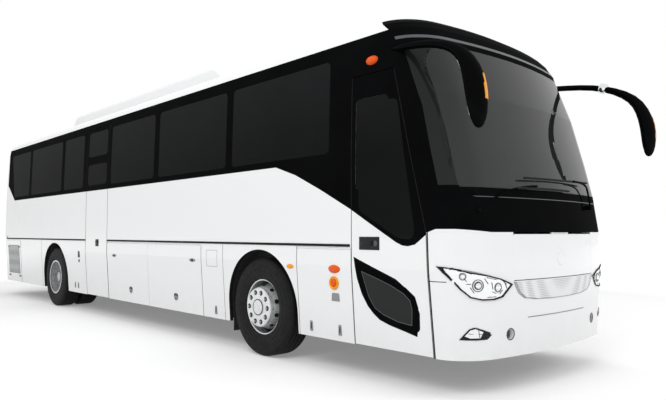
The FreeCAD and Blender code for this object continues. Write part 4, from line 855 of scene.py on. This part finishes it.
# Wheels: road tyres with grooves and ribbed walls, rims, wheel nuts, painted shade in the front rims' hand
# holes and wells, and rear hub caps
wheel = {"radius": 0.518, "half": 0.1475, "grooves": (-0.078, -0.027, 0.027, 0.078), "grooveHalf": 0.006,
         "grooveDepth": 0.013, "grooveSlant": 0.002, "crownHalf": 0.108, "crownDrop": 0.001,
         "wall": [(0.030, 0.2875), (0.016, 0.2995), (0.004, 0.345), (0.0, 0.372), (0.0025, 0.376),
                  (0.0025, 0.392), (0.0, 0.396), (0.0, 0.440), (0.006, 0.466), (0.004, 0.470), (0.010, 0.492),
                  (0.024, 0.510), (0.034, 0.515)],
         "axles": [("Front", frontAxle, [1.0975], 1.280), ("Rear", rearAxle, [1.0975, 0.7575], 0.9345)],
         "nutCircle": 0.158, "nutCount": 10, "nutRadius": 0.015, "nutHeight": 0.012, "studRadius": 0.009,
         "studHeight": 0.018, "well": 0.0265, "holeCircle": 0.2275, "holeFace": 1.200, "holeRadius": 0.024,
         "holeLean": (0.94, 0.34),
         "rim": [(1.250, 0.0), (1.250, 0.165), (1.120, 0.215), (1.015, 0.225), (1.000, 0.262), (0.955, 0.262),
                 (0.955, 0.286), (1.196, 0.286), (1.206, 0.2955), (1.2125, 0.2985), (1.2175, 0.296),
                 (1.218, 0.287), (1.213, 0.279), (1.120, 0.274), (1.050, 0.268), (1.035, 0.255),
                 (1.050, 0.246), (1.160, 0.239), (1.252, 0.212), (1.270, 0.207), (1.279, 0.198),
                 (1.280, 0.192), (1.280, 0.086), (1.284, 0.082), (1.287, 0.074), (1.288, 0.060),
                 (1.288, 0.0)],
         "rimNames": {"Left": "Plane", "Right": "Plane.001"},
         "rearLip": [(1.2279, 0.274), (1.2279, 0.2862), (1.2379, 0.2955), (1.2424, 0.2985), (1.2454, 0.2960),
                     (1.2449, 0.2860), (1.2389, 0.274), (1.2279, 0.274)],
         "hubShade": [(1.2835, 0.0), (1.2835, 0.086), (1.2860, 0.086), (1.2860, 0.0)],
         "rimShade": [(1.120, 0.2425), (1.120, 0.2735), (1.124, 0.2735), (1.124, 0.2425), (1.120, 0.2425)],
         "cap": [(1.176, 0.0845), (1.188, 0.0845), (1.192, 0.078), (1.194, 0.050), (1.190, 0.046),
                 (1.189, 0.0005)]}


def tyreProfile(middle):
    wall = [(across - wheel["half"], radius) for across, radius in wheel["wall"]]
    radius, floor, slant = wheel["radius"], wheel["radius"] - wheel["grooveDepth"], wheel["grooveSlant"]
    crown = [(-wheel["crownHalf"], radius - wheel["crownDrop"])]
    for groove in wheel["grooves"]:
        low, high = groove - wheel["grooveHalf"], groove + wheel["grooveHalf"]
        crown += [(low, radius), (low + slant, floor), (high - slant, floor), (high, radius)]
    crown.append((wheel["crownHalf"], radius - wheel["crownDrop"]))
    whole = wall + crown + mirrored(reversed(wall), -1)
    return [(middle + across, height) for across, height in whole + whole[:1]]


def onCircle(x, y, radius, angle):
    return Vector((x + radius * math.sin(angle), y, wheelHeight + radius * math.cos(angle)))


def rimShades(x, side, discY, hub):
    # painted shade on a front rim, as dark discs and rings: in the nuts' wells, the hand holes, the gap at the
    # hub and under the flange
    parts = []
    for k in range(wheel["nutCount"]):
        angle = 2 * math.pi * (k + 0.5) / wheel["nutCount"]
        spot = onCircle(x, side * (discY - 0.001), wheel["nutCircle"], angle)
        parts.append(roundBar(spot, spot + Vector((0, side * 0.002, 0)), wheel["well"], 24))
        angle = 2 * math.pi * k / wheel["nutCount"]
        outward, across = wheel["holeLean"]
        out = Vector((outward * math.sin(angle), side * across, outward * math.cos(angle)))
        spot = onCircle(x, side * wheel["holeFace"], wheel["holeCircle"], angle)
        parts.append(roundBar(spot - out * 0.004, spot + out * 0.0015, wheel["holeRadius"], 20))
    parts.append(spun(mirrored(wheel["hubShade"], side), hub, 48))
    parts.append(spun(mirrored(wheel["rimShade"], side), hub, 96))
    return parts


for axle, x, middles, discY in wheel["axles"]:
    for side, word in reversed(sides):
        label, front = axle + word, axle == "Front"
        place = ("_" if front else "s_") + axle.lower() + "_" + word.lower()
        body, hub, out = "wheel" + place, (x, 0.0, wheelHeight), Vector((0, side, 0))
        tyres = [spun(tyreProfile(side * middle), hub) for middle in middles]
        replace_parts(finished("roadTyre" + label, tyres, body, "tyre", 28.0), "tyre" + place)
        nuts = [] if front else [spun(mirrored(wheel["rearLip"], side), hub)]
        for k in range(wheel["nutCount"]):
            spot = onCircle(x, side * discY, wheel["nutCircle"], 2 * math.pi * (k + 0.5) / wheel["nutCount"])
            nutHead, studHead = spot + out * wheel["nutHeight"], spot + out * wheel["studHeight"]
            nuts.append(roundBar(spot - out * 0.001, nutHead, wheel["nutRadius"], 6, 0.002))
            nuts.append(roundBar(spot, studHead, wheel["studRadius"], 12, 0.001))
        finished("wheelNuts" + label, nuts, body, "steel")
        if front:
            rim = spun(mirrored(wheel["rim"], side), hub, 96)
            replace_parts(finished(wheel["rimNames"][word], [rim], body, "silver", 28.0), "rim" + place)
            # dark discs and rings painted as shade on the front rim
            finished("wheelShades" + label, rimShades(x, side, discY, hub), body, "seal")
        else:
            finished("hubCap" + label, [spun(mirrored(wheel["cap"], side), hub, 48)], body, "steel")
print("wheels ready")


# Small fittings on the sides: lamps, latches, handles, plates and grilles. Their settings are x and z, width,
# height and how far they stand proud, and for a plate the bevel.
fittings = {"sunk": 0.004, "lampRim": (0.5, 0.035), "latchPlate": (0.044, 0.100, 0.004, 0.010),
            "latchKey": (0.016, 0.060, 0.007, 0.006), "ovalRest": (0.150, 0.044, 0.005),
            "ovalCore": (0.062, 0.036, 0.009), "lockRest": (0.114, 0.114, 0.004),
            "lockCore": (0.040, 0.040, 0.007), "lockArms": (0.5, 2.6, 4.7), "lockReach": 0.030,
            "lids": {"rear_service_lid_{}": ([(-5.72, 1.02), (-5.05, 1.02), (-5.72, 0.43), (-5.05, 0.43)], []),
                     "luggage_door_{}_rear": ([(-0.437, 0.968)], [(0.079, 0.498)]),
                     "luggage_door_{}_front": ([(1.835, 0.971)], [(1.386, 0.498)])},
            "wallLatches": [(-1.914, 0.434), (-2.05, 0.434), (2.324, 0.406)],
            "wallPlates": [(-1.834, 0.952, 0.075, 0.105, 0.004, 0.004),
                           (-1.834, 0.845, 0.045, 0.045, 0.006, 0.012)],
            "fillerFlap": [(2.163, 2.396, 0.911, 0.914), (2.163, 2.396, 1.100, 1.103),
                           (2.163, 2.166, 0.911, 1.103), (2.393, 2.396, 0.911, 1.103)], "flapProud": 0.0008,
            "sideMarker": (frontAxle + 0.527, 0.971, 0.105, 0.045, 0.012),
            "rearMarker": (-5.86, 1.222, 0.030, 0.045, 0.010), "bandLamp": (4.859, 2.832, 0.135, 0.075, 0.030)}


def sidePlate(side, x, z, width, height, proud, bevel):
    low, high = sorted((side * (wallAt(z) - fittings["sunk"]), side * (wallAt(z) + proud)))
    return roundedBox((x - width / 2, low, z - height / 2), (x + width / 2, high, z + height / 2), bevel)


def sideDome(side, x, z, width, height, proud):
    return dome((x, side * wallAt(z), z), (width / 2, proud, height / 2))


def sideLamp(side, x, z, width, height, proud):
    # a domed lens in its moulded rim
    rim = ring((0.0, 0.0, 0.0), (math.pi / 2, 0, 0), *fittings["lampRim"])
    rim.scale = (width, proud * 2, height)
    moved(rim, (x, side * wallAt(z), z))
    return [sideDome(side, x, z, width, height, proud), rim]


def latches(side, places):
    # upright oval latches, each a grey plate with a dark key in it
    return [[sidePlate(side, x, z, *fittings[part]) for x, z in places] for part in ("latchPlate", "latchKey")]


for side, word in sides:
    for body, (ovals, locks) in fittings["lids"].items():
        body = body.format(word.lower())
        rests = [sideDome(side, x, z, *fittings["ovalRest"]) for x, z in ovals]
        cores = [sideDome(side, x, z, *fittings["ovalCore"]) for x, z in ovals]
        for x, z in locks:
            rests.append(sideDome(side, x, z, *fittings["lockRest"]))
            for turn in fittings["lockArms"]:
                across, up = fittings["lockReach"] * math.cos(turn), fittings["lockReach"] * math.sin(turn)
                cores.append(sideDome(side, x + across, z + up, *fittings["lockCore"]))
        finished("latchRests_" + body, rests, body, "grey")
        finished("latchCores_" + body, cores, body, "dark")
    plates, keys = latches(side, fittings["wallLatches"])
    keys += [sidePlate(side, *plate) for plate in fittings["wallPlates"]]
    finished("wallLatches" + word, plates, "coach_body", "grey")
    finished("wallPlates" + word, keys, "coach_body", "dark")
    finished("sideMarker" + word, sideLamp(side, *fittings["sideMarker"]), "coach_body", "amber")
    finished("rearMarker" + word, sideLamp(side, *fittings["rearMarker"]), "coach_body", "orange")
    flap = panelStrips(word.lower() + "_side_wall", fittings["fillerFlap"], side, fittings["flapProud"])
    finished("fillerFlap" + word, flap, "coach_body", "seal")

# The front service lid on the right carries two lamps, a blank plate and two latches
lid = {"body": "front_service_lid_right", "turnLamp": (frontAxle + 1.173, 0.972, 0.150, 0.075, 0.022),
       "roundLamp": (frontAxle + 1.165, 0.843, 0.072, 0.072, 0.020), "ring": (0.050, 0.012),
       "ringProud": 0.004, "plate": (frontAxle + 1.174, 0.721),
       "plateSteps": [(0.105, 0.095, 0.001), (0.093, 0.083, 0.002)],
       "plateBevel": 0.0006, "latches": [(frontAxle + 0.81, 0.41), (frontAxle + 1.211, 0.41)]}
finished("turnLamp", sideLamp(-1, *lid["turnLamp"]), lid["body"], "orange")
x, z = lid["roundLamp"][:2]
part = ring((x, -wallAt(z) - lid["ringProud"], z), (math.pi / 2, 0, 0), *lid["ring"], across=12)
finished("roundLampRing", [part], lid["body"], "amber")
finished("roundLamp", sideLamp(-1, *lid["roundLamp"]), lid["body"], "orange")
parts = [sidePlate(-1, *lid["plate"], *step, lid["plateBevel"]) for step in lid["plateSteps"]]
finished("blankPlate", parts, lid["body"], "grey")
plates, keys = latches(-1, lid["latches"])
finished("serviceLatches", plates, lid["body"], "grey")
finished("serviceLatchKeys", keys, lid["body"], "dark")

# Door handles, each a rest and a grip, and the front door's lock
doorFittings = {"front": [(4.840, 1.2125, 0.244, 0.115, 0.005, 0.008),
                          (4.815, 1.2125, 0.130, 0.040, 0.020, 0.010)],
                "mid": [(-1.079, 1.15, 0.118, 0.110, 0.005, 0.012),
                        (-1.079, 1.165, 0.085, 0.030, 0.016, 0.008)],
                "lock": (4.918, 1.2125, 0.046, 0.060, 0.010)}
parts = [sidePlate(-1, *plate) for plate in doorFittings["front"]]
finished("frontDoorHandle", parts, "front_door", "dark")
finished("frontDoorLock", sideLamp(-1, *doorFittings["lock"]), "front_door", "satin")
parts = [sidePlate(-1, *plate) for plate in doorFittings["mid"]]
finished("midDoorHandle", parts, "mid_door", "dark")

# Orange lamp above each front corner of the band, and air grilles on the rear service lids
for side, word in sides:
    finished("bandLamp" + word, sideLamp(side, *fittings["bandLamp"]), "coach_body", "orange")
grille = {"place": (-5.764, -5.034, 0.475, 1.055), "edge": 0.012, "frameProud": 0.002, "panelProud": 0.004}
for side, word in sides:
    body = "rear_service_lid_" + word.lower()
    parts = panelStrips(body, [grille["place"]], side, grille["frameProud"])
    finished("grilleFrame" + word, parts, body, "grey")
    inset = [value + sign * grille["edge"] for value, sign in zip(grille["place"], (1, -1, 1, -1))]
    parts = panelStrips(body, [inset], side, grille["panelProud"])
    finished("grillePanel" + word, parts, body, "darkMesh")
print("fittings ready")

# Mirrors: shells lofted along the arm and the head, with an amber lamp, a mirror pane and a ball joint
mirror = {"right": [(4.985, -1.186, 2.905), (5.310, -1.300, 2.852), (5.597, -1.400, 2.786),
                    (5.815, -1.440, 2.722), (5.955, -1.452, 2.630), (6.035, -1.450, 2.509),
                    (6.066, -1.450, 2.367), (6.083, -1.450, 2.225), (6.090, -1.450, 2.110),
                    (6.089, -1.450, 2.048)],
          "left": [(5.100, 1.186, 2.905), (5.365, 1.358, 2.912), (5.625, 1.431, 2.886), (5.850, 1.450, 2.812),
                   (6.035, 1.450, 2.700), (6.125, 1.450, 2.560), (6.172, 1.450, 2.387), (6.178, 1.450, 2.239),
                   (6.176, 1.450, 2.130), (6.168, 1.450, 2.080)],
          "sizes": [(0.030, 0.036), (0.030, 0.036), (0.030, 0.038), (0.036, 0.048), (0.050, 0.078),
                    (0.060, 0.106), (0.066, 0.1155), (0.062, 0.106), (0.045, 0.078), (0.016, 0.030)],
          "corners": 20, "head": 1.45, "middleRing": 6, "lampHeights": (2.262, 2.535),
          "lampFacing": (0.736, 0.677),
          "lampReach": 0.062, "lampProud": 0.004, "glassHeights": (2.14, 2.56), "glassHalf": 0.060,
          "glassProud": 0.0012, "ball": (5.730, 1.442, 2.853), "ballRadius": 0.058,
          "ballAxis": (0.946, 0.078, -0.314),
          "collars": (-0.030, 0.030), "collarRadius": 0.050, "collarThickness": 0.006}


def mirrorRings(centres):
    rings = []
    for i, (centre, (depth, breadth)) in enumerate(zip(centres, mirror["sizes"])):
        run = (centres[min(i + 1, len(centres) - 1)] - centres[max(i - 1, 0)]).normalized()
        across = (Vector((0, 1, 0)) - run * run.y).normalized()
        thick = run.cross(across)
        angles = [2 * math.pi * k / mirror["corners"] for k in range(mirror["corners"])]
        rings.append([centre + across * (breadth * math.cos(angle)) + thick * (depth * math.sin(angle))
                      for angle in angles])
    return rings


def ownCopy(piece):
    return newObject(piece.name, piece.data.copy())


def onLamp(face, middle, head):
    forward, aside = mirror["lampFacing"]
    return forward * (face.center.x - middle) + aside * (face.center.y - head) > mirror["lampReach"]


shells, strips, panes = [], [], []
for side, word in sides:
    centres = [Vector(place) for place in mirror[word.lower()]]
    middle, head = mirror[word.lower()][mirror["middleRing"]][0], side * mirror["head"]
    shell = applied(lofted(mirrorRings(centres)), "SUBSURF", levels=1, render_levels=1)
    shells.append(shell)
    strip = trimmed(ownCopy(shell), span(2, *mirror["lampHeights"]))
    keepFaces(strip, lambda face: onLamp(face, middle, head))
    strips.append(thickened(strip, mirror["lampProud"]))
    half = mirror["glassHalf"]
    pane = trimmed(ownCopy(shell), span(2, *mirror["glassHeights"]) + span(1, head - half, head + half))
    keepFaces(pane, lambda face: face.normal.x < -0.7)
    panes.append(thickened(pane, mirror["glassProud"]))
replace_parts(finished("mirrorShells", shells, "coach_body", "black", 60.0), "mirrors")
finished("mirrorLamps", strips, "coach_body", "amber")
finished("mirrorPanes", panes, "coach_body", "mirrorGlass")
ball, axis = Vector(mirror["ball"]), Vector(mirror["ballAxis"])
parts = [dome(ball, [mirror["ballRadius"]] * 3)]
for along in mirror["collars"]:
    parts.append(ring(ball + axis * along, upright(axis), mirror["collarRadius"], mirror["collarThickness"]))
finished("mirrorBall", parts, "coach_body", "chrome")
print("mirrors ready")

# Wipers: bent arms on round pivots, each with a blade and its rubber
wiper = {"arms": [[(2.563, -1.036, 1.485), (2.600, -0.850, 1.600), (2.660, -0.576, 1.690),
                   (2.690, -0.350, 1.700)], [(2.661, 0.702, 1.546), (2.640, 0.705, 1.700),
                                             (2.640, 0.640, 1.782), (2.665, 0.350, 1.782)]],
         "blades": [[(2.672, -0.62, 1.676), (2.715, -0.19, 1.690), (2.690, 0.239, 1.684)],
                    [(2.660, -0.493, 1.768), (2.690, 0.10, 1.778), (2.640, 0.705, 1.786)]],
         "armForward": 0.022, "bladeForward": 0.014, "armRadius": 0.009, "bladeRadius": 0.0075,
         "rubberRadius": 0.004, "rubberShift": (-0.009, 0.0, -0.006), "pivot": (-0.045, 0.012),
         "pivotRadius": 0.020}
arms, blades = [], []
for path in wiper["arms"]:
    points = [Vector((frontAxle + x + wiper["armForward"], y, z)) for x, y, z in path]
    arms.append(tube(points, wiper["armRadius"]))
    back, front = (points[0] + Vector((reach, 0.0, 0.0)) for reach in wiper["pivot"])
    arms.append(roundBar(back, front, wiper["pivotRadius"], 20, 0.004))
for path in wiper["blades"]:
    points = [Vector((frontAxle + x + wiper["bladeForward"], y, z)) for x, y, z in path]
    blades.append(tube(points, wiper["bladeRadius"]))
    blades.append(tube([point + Vector(wiper["rubberShift"]) for point in points], wiper["rubberRadius"]))
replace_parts(finished("wiperArms", arms, "coach_body", "black"), "wipers")
finished("wiperBlades", blades, "coach_body", "seal")
print("wipers ready")

# Steering wheel: a moulded rim on the tilted column
helm = {"centre": (5.015961, 0.62, 1.62), "radius": 0.235, "rim": 0.0145, "tilt": 25.0, "hub": 0.062,
        "hubDepths": (-0.045, 0.012), "spokes": (90.0, 210.0, 330.0), "spokeDrop": -0.020,
        "spokeStarts": (0.03, 0.13),
        "spokeRadius": 0.011}
tilt = -math.radians(helm["tilt"])
centre, turned = Vector(helm["centre"]), Matrix.Rotation(tilt, 3, "Y")
axis = turned @ Vector((0.0, 0.0, 1.0))
parts = [ring(centre, (0, tilt, 0), helm["radius"], helm["rim"], 64, 14)]
for angle in helm["spokes"]:
    out = turned @ Vector((math.cos(math.radians(angle)), math.sin(math.radians(angle)), 0.0))
    low = centre + turned @ Vector((0.0, 0.0, helm["spokeDrop"]))
    points = [low + out * reach for reach in helm["spokeStarts"]] + [centre + out * helm["radius"]]
    parts.append(tube(points, helm["spokeRadius"]))
foot, head = (centre + axis * depth for depth in helm["hubDepths"])
parts.append(roundBar(foot, head, helm["hub"], 40, 0.012))
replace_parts(finished("steeringWheelRim", parts, "steering_wheel", "dark"), "steering_wheel")

# Instruments on the dashboard
dash = {"hoodLow": (5.13, 0.40, 1.555), "hoodHigh": (5.42, 0.86, 1.665), "hoodBevel": 0.035,
        "shelfLow": (5.20, -0.36, 1.553), "shelfHigh": (5.70, 1.05, 1.580), "shelfBevel": 0.012}
part = roundedBox(dash["hoodLow"], dash["hoodHigh"], dash["hoodBevel"], 4)
finished("instrumentHood", [part], "coach_body", "dark")
part = roundedBox(dash["shelfLow"], dash["shelfHigh"], dash["shelfBevel"])
finished("dashShelf", [part], "coach_body", "grey")
print("cab ready")

# Seats: crowned cushions, leaning backs drawn in towards their heads, and slim legs
seats = {"rows": 12, "front": 3.9005, "pitch": 0.78, "floor": 1.31, "width": 0.445, "gap": 0.02,
         "outer": 1.185,
         "depth": 0.44, "cushionFoot": 0.30, "cushionHead": 0.445, "cushionInset": 0.02,
         "cushionCrown": 0.018,
         "backReach": (0.005, 0.125), "backSink": 0.02, "backHead": 1.205, "backCrown": 0.02, "lean": 0.125,
         "waist": 0.045, "well": (-1.554, -0.704), "wellRoom": 0.13, "legInset": 0.06,
         "legReach": (0.11, 0.33),
         "legHalf": 0.02, "legBevel": 0.006, "legLift": 0.001, "driver": (1.20, 0.62, 0.95),
         "pedestalLow": (1.31, 0.50, 0.951), "pedestalHigh": (1.53, 0.74, 1.25), "pedestalBevel": 0.03}


def pad(low, high, crown, lean=0.0, waist=0.0):
    # a crowned cushion, or with a lean and a waist a back: its middle swells and its edges stay
    middle = Vector([(a + b) / 2 for a, b in zip(low, high)])
    size = [b - a for a, b in zip(low, high)]
    piece = cube(low, high)
    edit(piece)
    bpy.ops.mesh.subdivide(number_cuts=3)
    objectMode()
    for vertex in piece.data.vertices:
        x, y, z = [(vertex.co[i] - middle[i]) / (size[i] / 2) for i in range(3)]
        swell = crown * (1 - y ** 2)
        if lean:
            vertex.co.x += swell * (1 - z ** 2) * (1 if x > 0 else 0.2)
            vertex.co.y -= waist * y * max(z, 0.0) ** 2
            vertex.co.x -= lean * (z + 1) / 2
        else:
            vertex.co.z += swell * (1 - x ** 2) * (1 if z > 0 else 0.2)
    return applied(piece, "SUBSURF", levels=1, render_levels=1)


def seatParts(x, y, floor):
    half, head = seats["width"] / 2, floor + seats["cushionHead"]
    low = (x + seats["cushionInset"], y - half, floor + seats["cushionFoot"])
    cushion = pad(low, (x + seats["depth"], y + half, head), seats["cushionCrown"])
    rear, front = seats["backReach"]
    low = (x + rear, y - half, head - seats["backSink"])
    high = (x + front, y + half, floor + seats["backHead"])
    return [cushion, pad(low, high, seats["backCrown"], seats["lean"], seats["waist"])]


places, legs, floor = [], [], seats["floor"]
for row in range(seats["rows"]):
    x = seats["front"] - seats["depth"] - row * seats["pitch"]
    for side, word in sides:
        room, (wellRear, wellFront) = seats["wellRoom"], seats["well"]
        if side < 0 and x + seats["depth"] > wellRear - room and x - room < wellFront:
            continue   # the steps of the middle door
        for k in range(2):
            y = side * (seats["outer"] - seats["width"] / 2 - k * (seats["width"] + seats["gap"]))
            places.append((x, y, floor))
        inner = seats["outer"] - 2 * seats["width"] - seats["gap"] + seats["legInset"]
        for y in (side * inner, side * (seats["outer"] - seats["legInset"])):
            (rear, front), half = seats["legReach"], seats["legHalf"]
            low = (x + rear, y - half, floor + seats["legLift"])
            high = (x + front, y + half, floor + seats["cushionFoot"])
            legs.append(roundedBox(low, high, seats["legBevel"], 1))
along, y, z = seats["driver"]
places.append((frontAxle + along, y, z))
low, high = (Vector(seats[end]) + Vector((frontAxle, 0.0, 0.0)) for end in ("pedestalLow", "pedestalHigh"))
legs.append(roundedBox(low, high, seats["pedestalBevel"], 2))
first = joined("seatCushions", seatParts(*places[0]))
copies = [first]
for place in places[1:]:
    copies.append(ownCopy(first))
    copies[-1].location = Vector(place) - Vector(places[0])
cushions = finished("seatCushions", copies, "coach_body", "cloth", 60.0)
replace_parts(cushions, "seats")
finished("seatLegs", legs, "coach_body", "chassis")
print("seats ready")

# Tail: turn lamps in the lamp columns, louvres on the engine lid and the bare place of the plate
tail = {"turnLamp": (0.96, 1.11), "lampProud": 0.002, "louvres": 9, "louvreFoot": 0.74, "louvrePitch": 0.05,
        "louvreHeight": 0.022, "louvreReach": (-0.60, 0.60), "louvreProud": 0.0015, "plate": (1.30, 1.42),
        "plateReach": (-0.27, 0.27), "plateProud": 0.001}
for side, word in sides:
    lamp = trimmed(nodeCopy("tail_lamps"), span(2, *tail["turnLamp"]) + [beyond(side)])
    keepFaces(lamp, lambda face: face.normal.x < -0.5)
    finished("rearTurnLamp" + word, [thickened(lamp, tail["lampProud"])], "coach_body", "amber")
slats = []
for k in range(tail["louvres"]):
    z = tail["louvreFoot"] + k * tail["louvrePitch"]
    planes = span(2, z, z + tail["louvreHeight"]) + span(1, *tail["louvreReach"])
    slats.append(skin("engine_lid", planes, astern, tail["louvreProud"]))
finished("engineLouvres", slats, "engine_lid", "seal")
part = skin("engine_lid", span(2, *tail["plate"]) + span(1, *tail["plateReach"]), astern, tail["plateProud"])
finished("rearPlatePlace", [part], "engine_lid", "grey")
print("tail ready")

# Stage: pale floor, soft lamps and the camera at the photograph's place
camera = {"position": (8.603, -5.205, 1.3035), "yaw": 47.408, "pitch": -2.844, "lens": 33.54,
          "shift": (0.00528, 0.00319)}
studio = {"keyLamp": ((9.0, -12.0, 11.0), (0.0, 0.0, 1.5), (9.0, 6.0), 1000.0),
          "fillLamp": ((14.0, 6.0, 8.0), (3.0, 0.0, 1.5), (7.0, 5.0), 420.0),
          "roofLamp": ((-2.0, 0.0, 14.0), (-1.0, 0.0, 2.0), (14.0, 6.0), 560.0)}


def placeCamera():
    yaw, pitch = math.radians(camera["yaw"]), math.radians(camera["pitch"])
    forward = Vector((-math.sin(yaw) * math.cos(pitch), math.cos(yaw) * math.cos(pitch), -math.sin(pitch)))
    side = Vector((math.cos(yaw), math.sin(yaw), 0.0))
    turn = Matrix((side, side.cross(forward), -forward)).transposed().to_4x4()
    data = bpy.data.cameras.new("photoCamera")
    data.lens = camera["lens"]
    data.sensor_width = 36.0
    data.shift_x, data.shift_y = camera["shift"]
    data.clip_end = 500.0
    holder = newObject("photoCamera", data)
    holder.matrix_world = Matrix.Translation(camera["position"]) @ turn
    bpy.context.scene.camera = holder


def addLamp(name, place, target, size, power):
    data = bpy.data.lights.new(name, "AREA")
    data.shape = "RECTANGLE"
    data.size, data.size_y = size
    data.energy = power
    holder = newObject(name, data)
    holder.visible_glossy = False
    holder.location = place
    holder.rotation_euler = (Vector(target) - Vector(place)).to_track_quat("-Z", "Y").to_euler()


def seenFlat(tree):
    # one where a camera, a mirror or a pane looks straight at the surface
    path = add(tree, "ShaderNodeLightPath").outputs
    inputs = {0: path["Is Camera Ray"], 1: path["Is Transmission Ray"]}
    either = add(tree, "ShaderNodeMath", inputs, operation="MAXIMUM").outputs[0]
    inputs = {0: either, 1: path["Is Glossy Ray"]}
    return add(tree, "ShaderNodeMath", inputs, operation="MAXIMUM").outputs[0]


def paleFloor():
    # white studio floor: it keeps the shadow near the coach and fades to plain white away from it
    shader = {"Base_Color": (0.8, 0.8, 0.8, 1.0), "Roughness": 0.9, "Specular_IOR_Level": 0.0}
    material, tree, body, place = newMaterial("paleStudioFloor", **shader)
    away = add(tree, "ShaderNodeVectorMath", {0: place}, operation="LENGTH").outputs["Value"]
    glow = add(tree, "ShaderNodeMapRange", {0: away, 1: 9.0, 2: 17.0, 3: 0.22, 4: 1.0}).outputs[0]
    seen = add(tree, "ShaderNodeMath", {0: glow, 1: seenFlat(tree)}, operation="MULTIPLY").outputs[0]
    tree.links.new(seen, body.inputs["Emission Strength"])
    body.inputs["Emission Color"].default_value = (1.0, 1.0, 1.0, 1.0)
    bpy.ops.mesh.primitive_plane_add(size=400.0, location=(0.0, 0.0, -0.001))
    floor = bpy.context.object
    floor.name = "studioFloor"
    floor.data.materials.append(material)


def paleWorld():
    world = bpy.data.worlds.new("paleStudio")
    bpy.context.scene.world = world
    world.use_nodes = True
    tree = world.node_tree
    tree.nodes.clear()
    pale = add(tree, "ShaderNodeBackground", {"Color": (1.0, 1.0, 1.0, 1.0), "Strength": 1.0})
    soft = add(tree, "ShaderNodeBackground", {"Color": (1.0, 1.0, 1.0, 1.0), "Strength": 0.62})
    mixed = add(tree, "ShaderNodeMixShader", {0: seenFlat(tree), 1: soft.outputs[0], 2: pale.outputs[0]})
    add(tree, "ShaderNodeOutputWorld", {"Surface": mixed.outputs[0]})


bpy.context.scene.view_settings.view_transform = "Standard"
placeCamera()
for name, settings in studio.items():
    addLamp(name, *settings)
deselect()
paleFloor()
paleWorld()
print("stage ready")
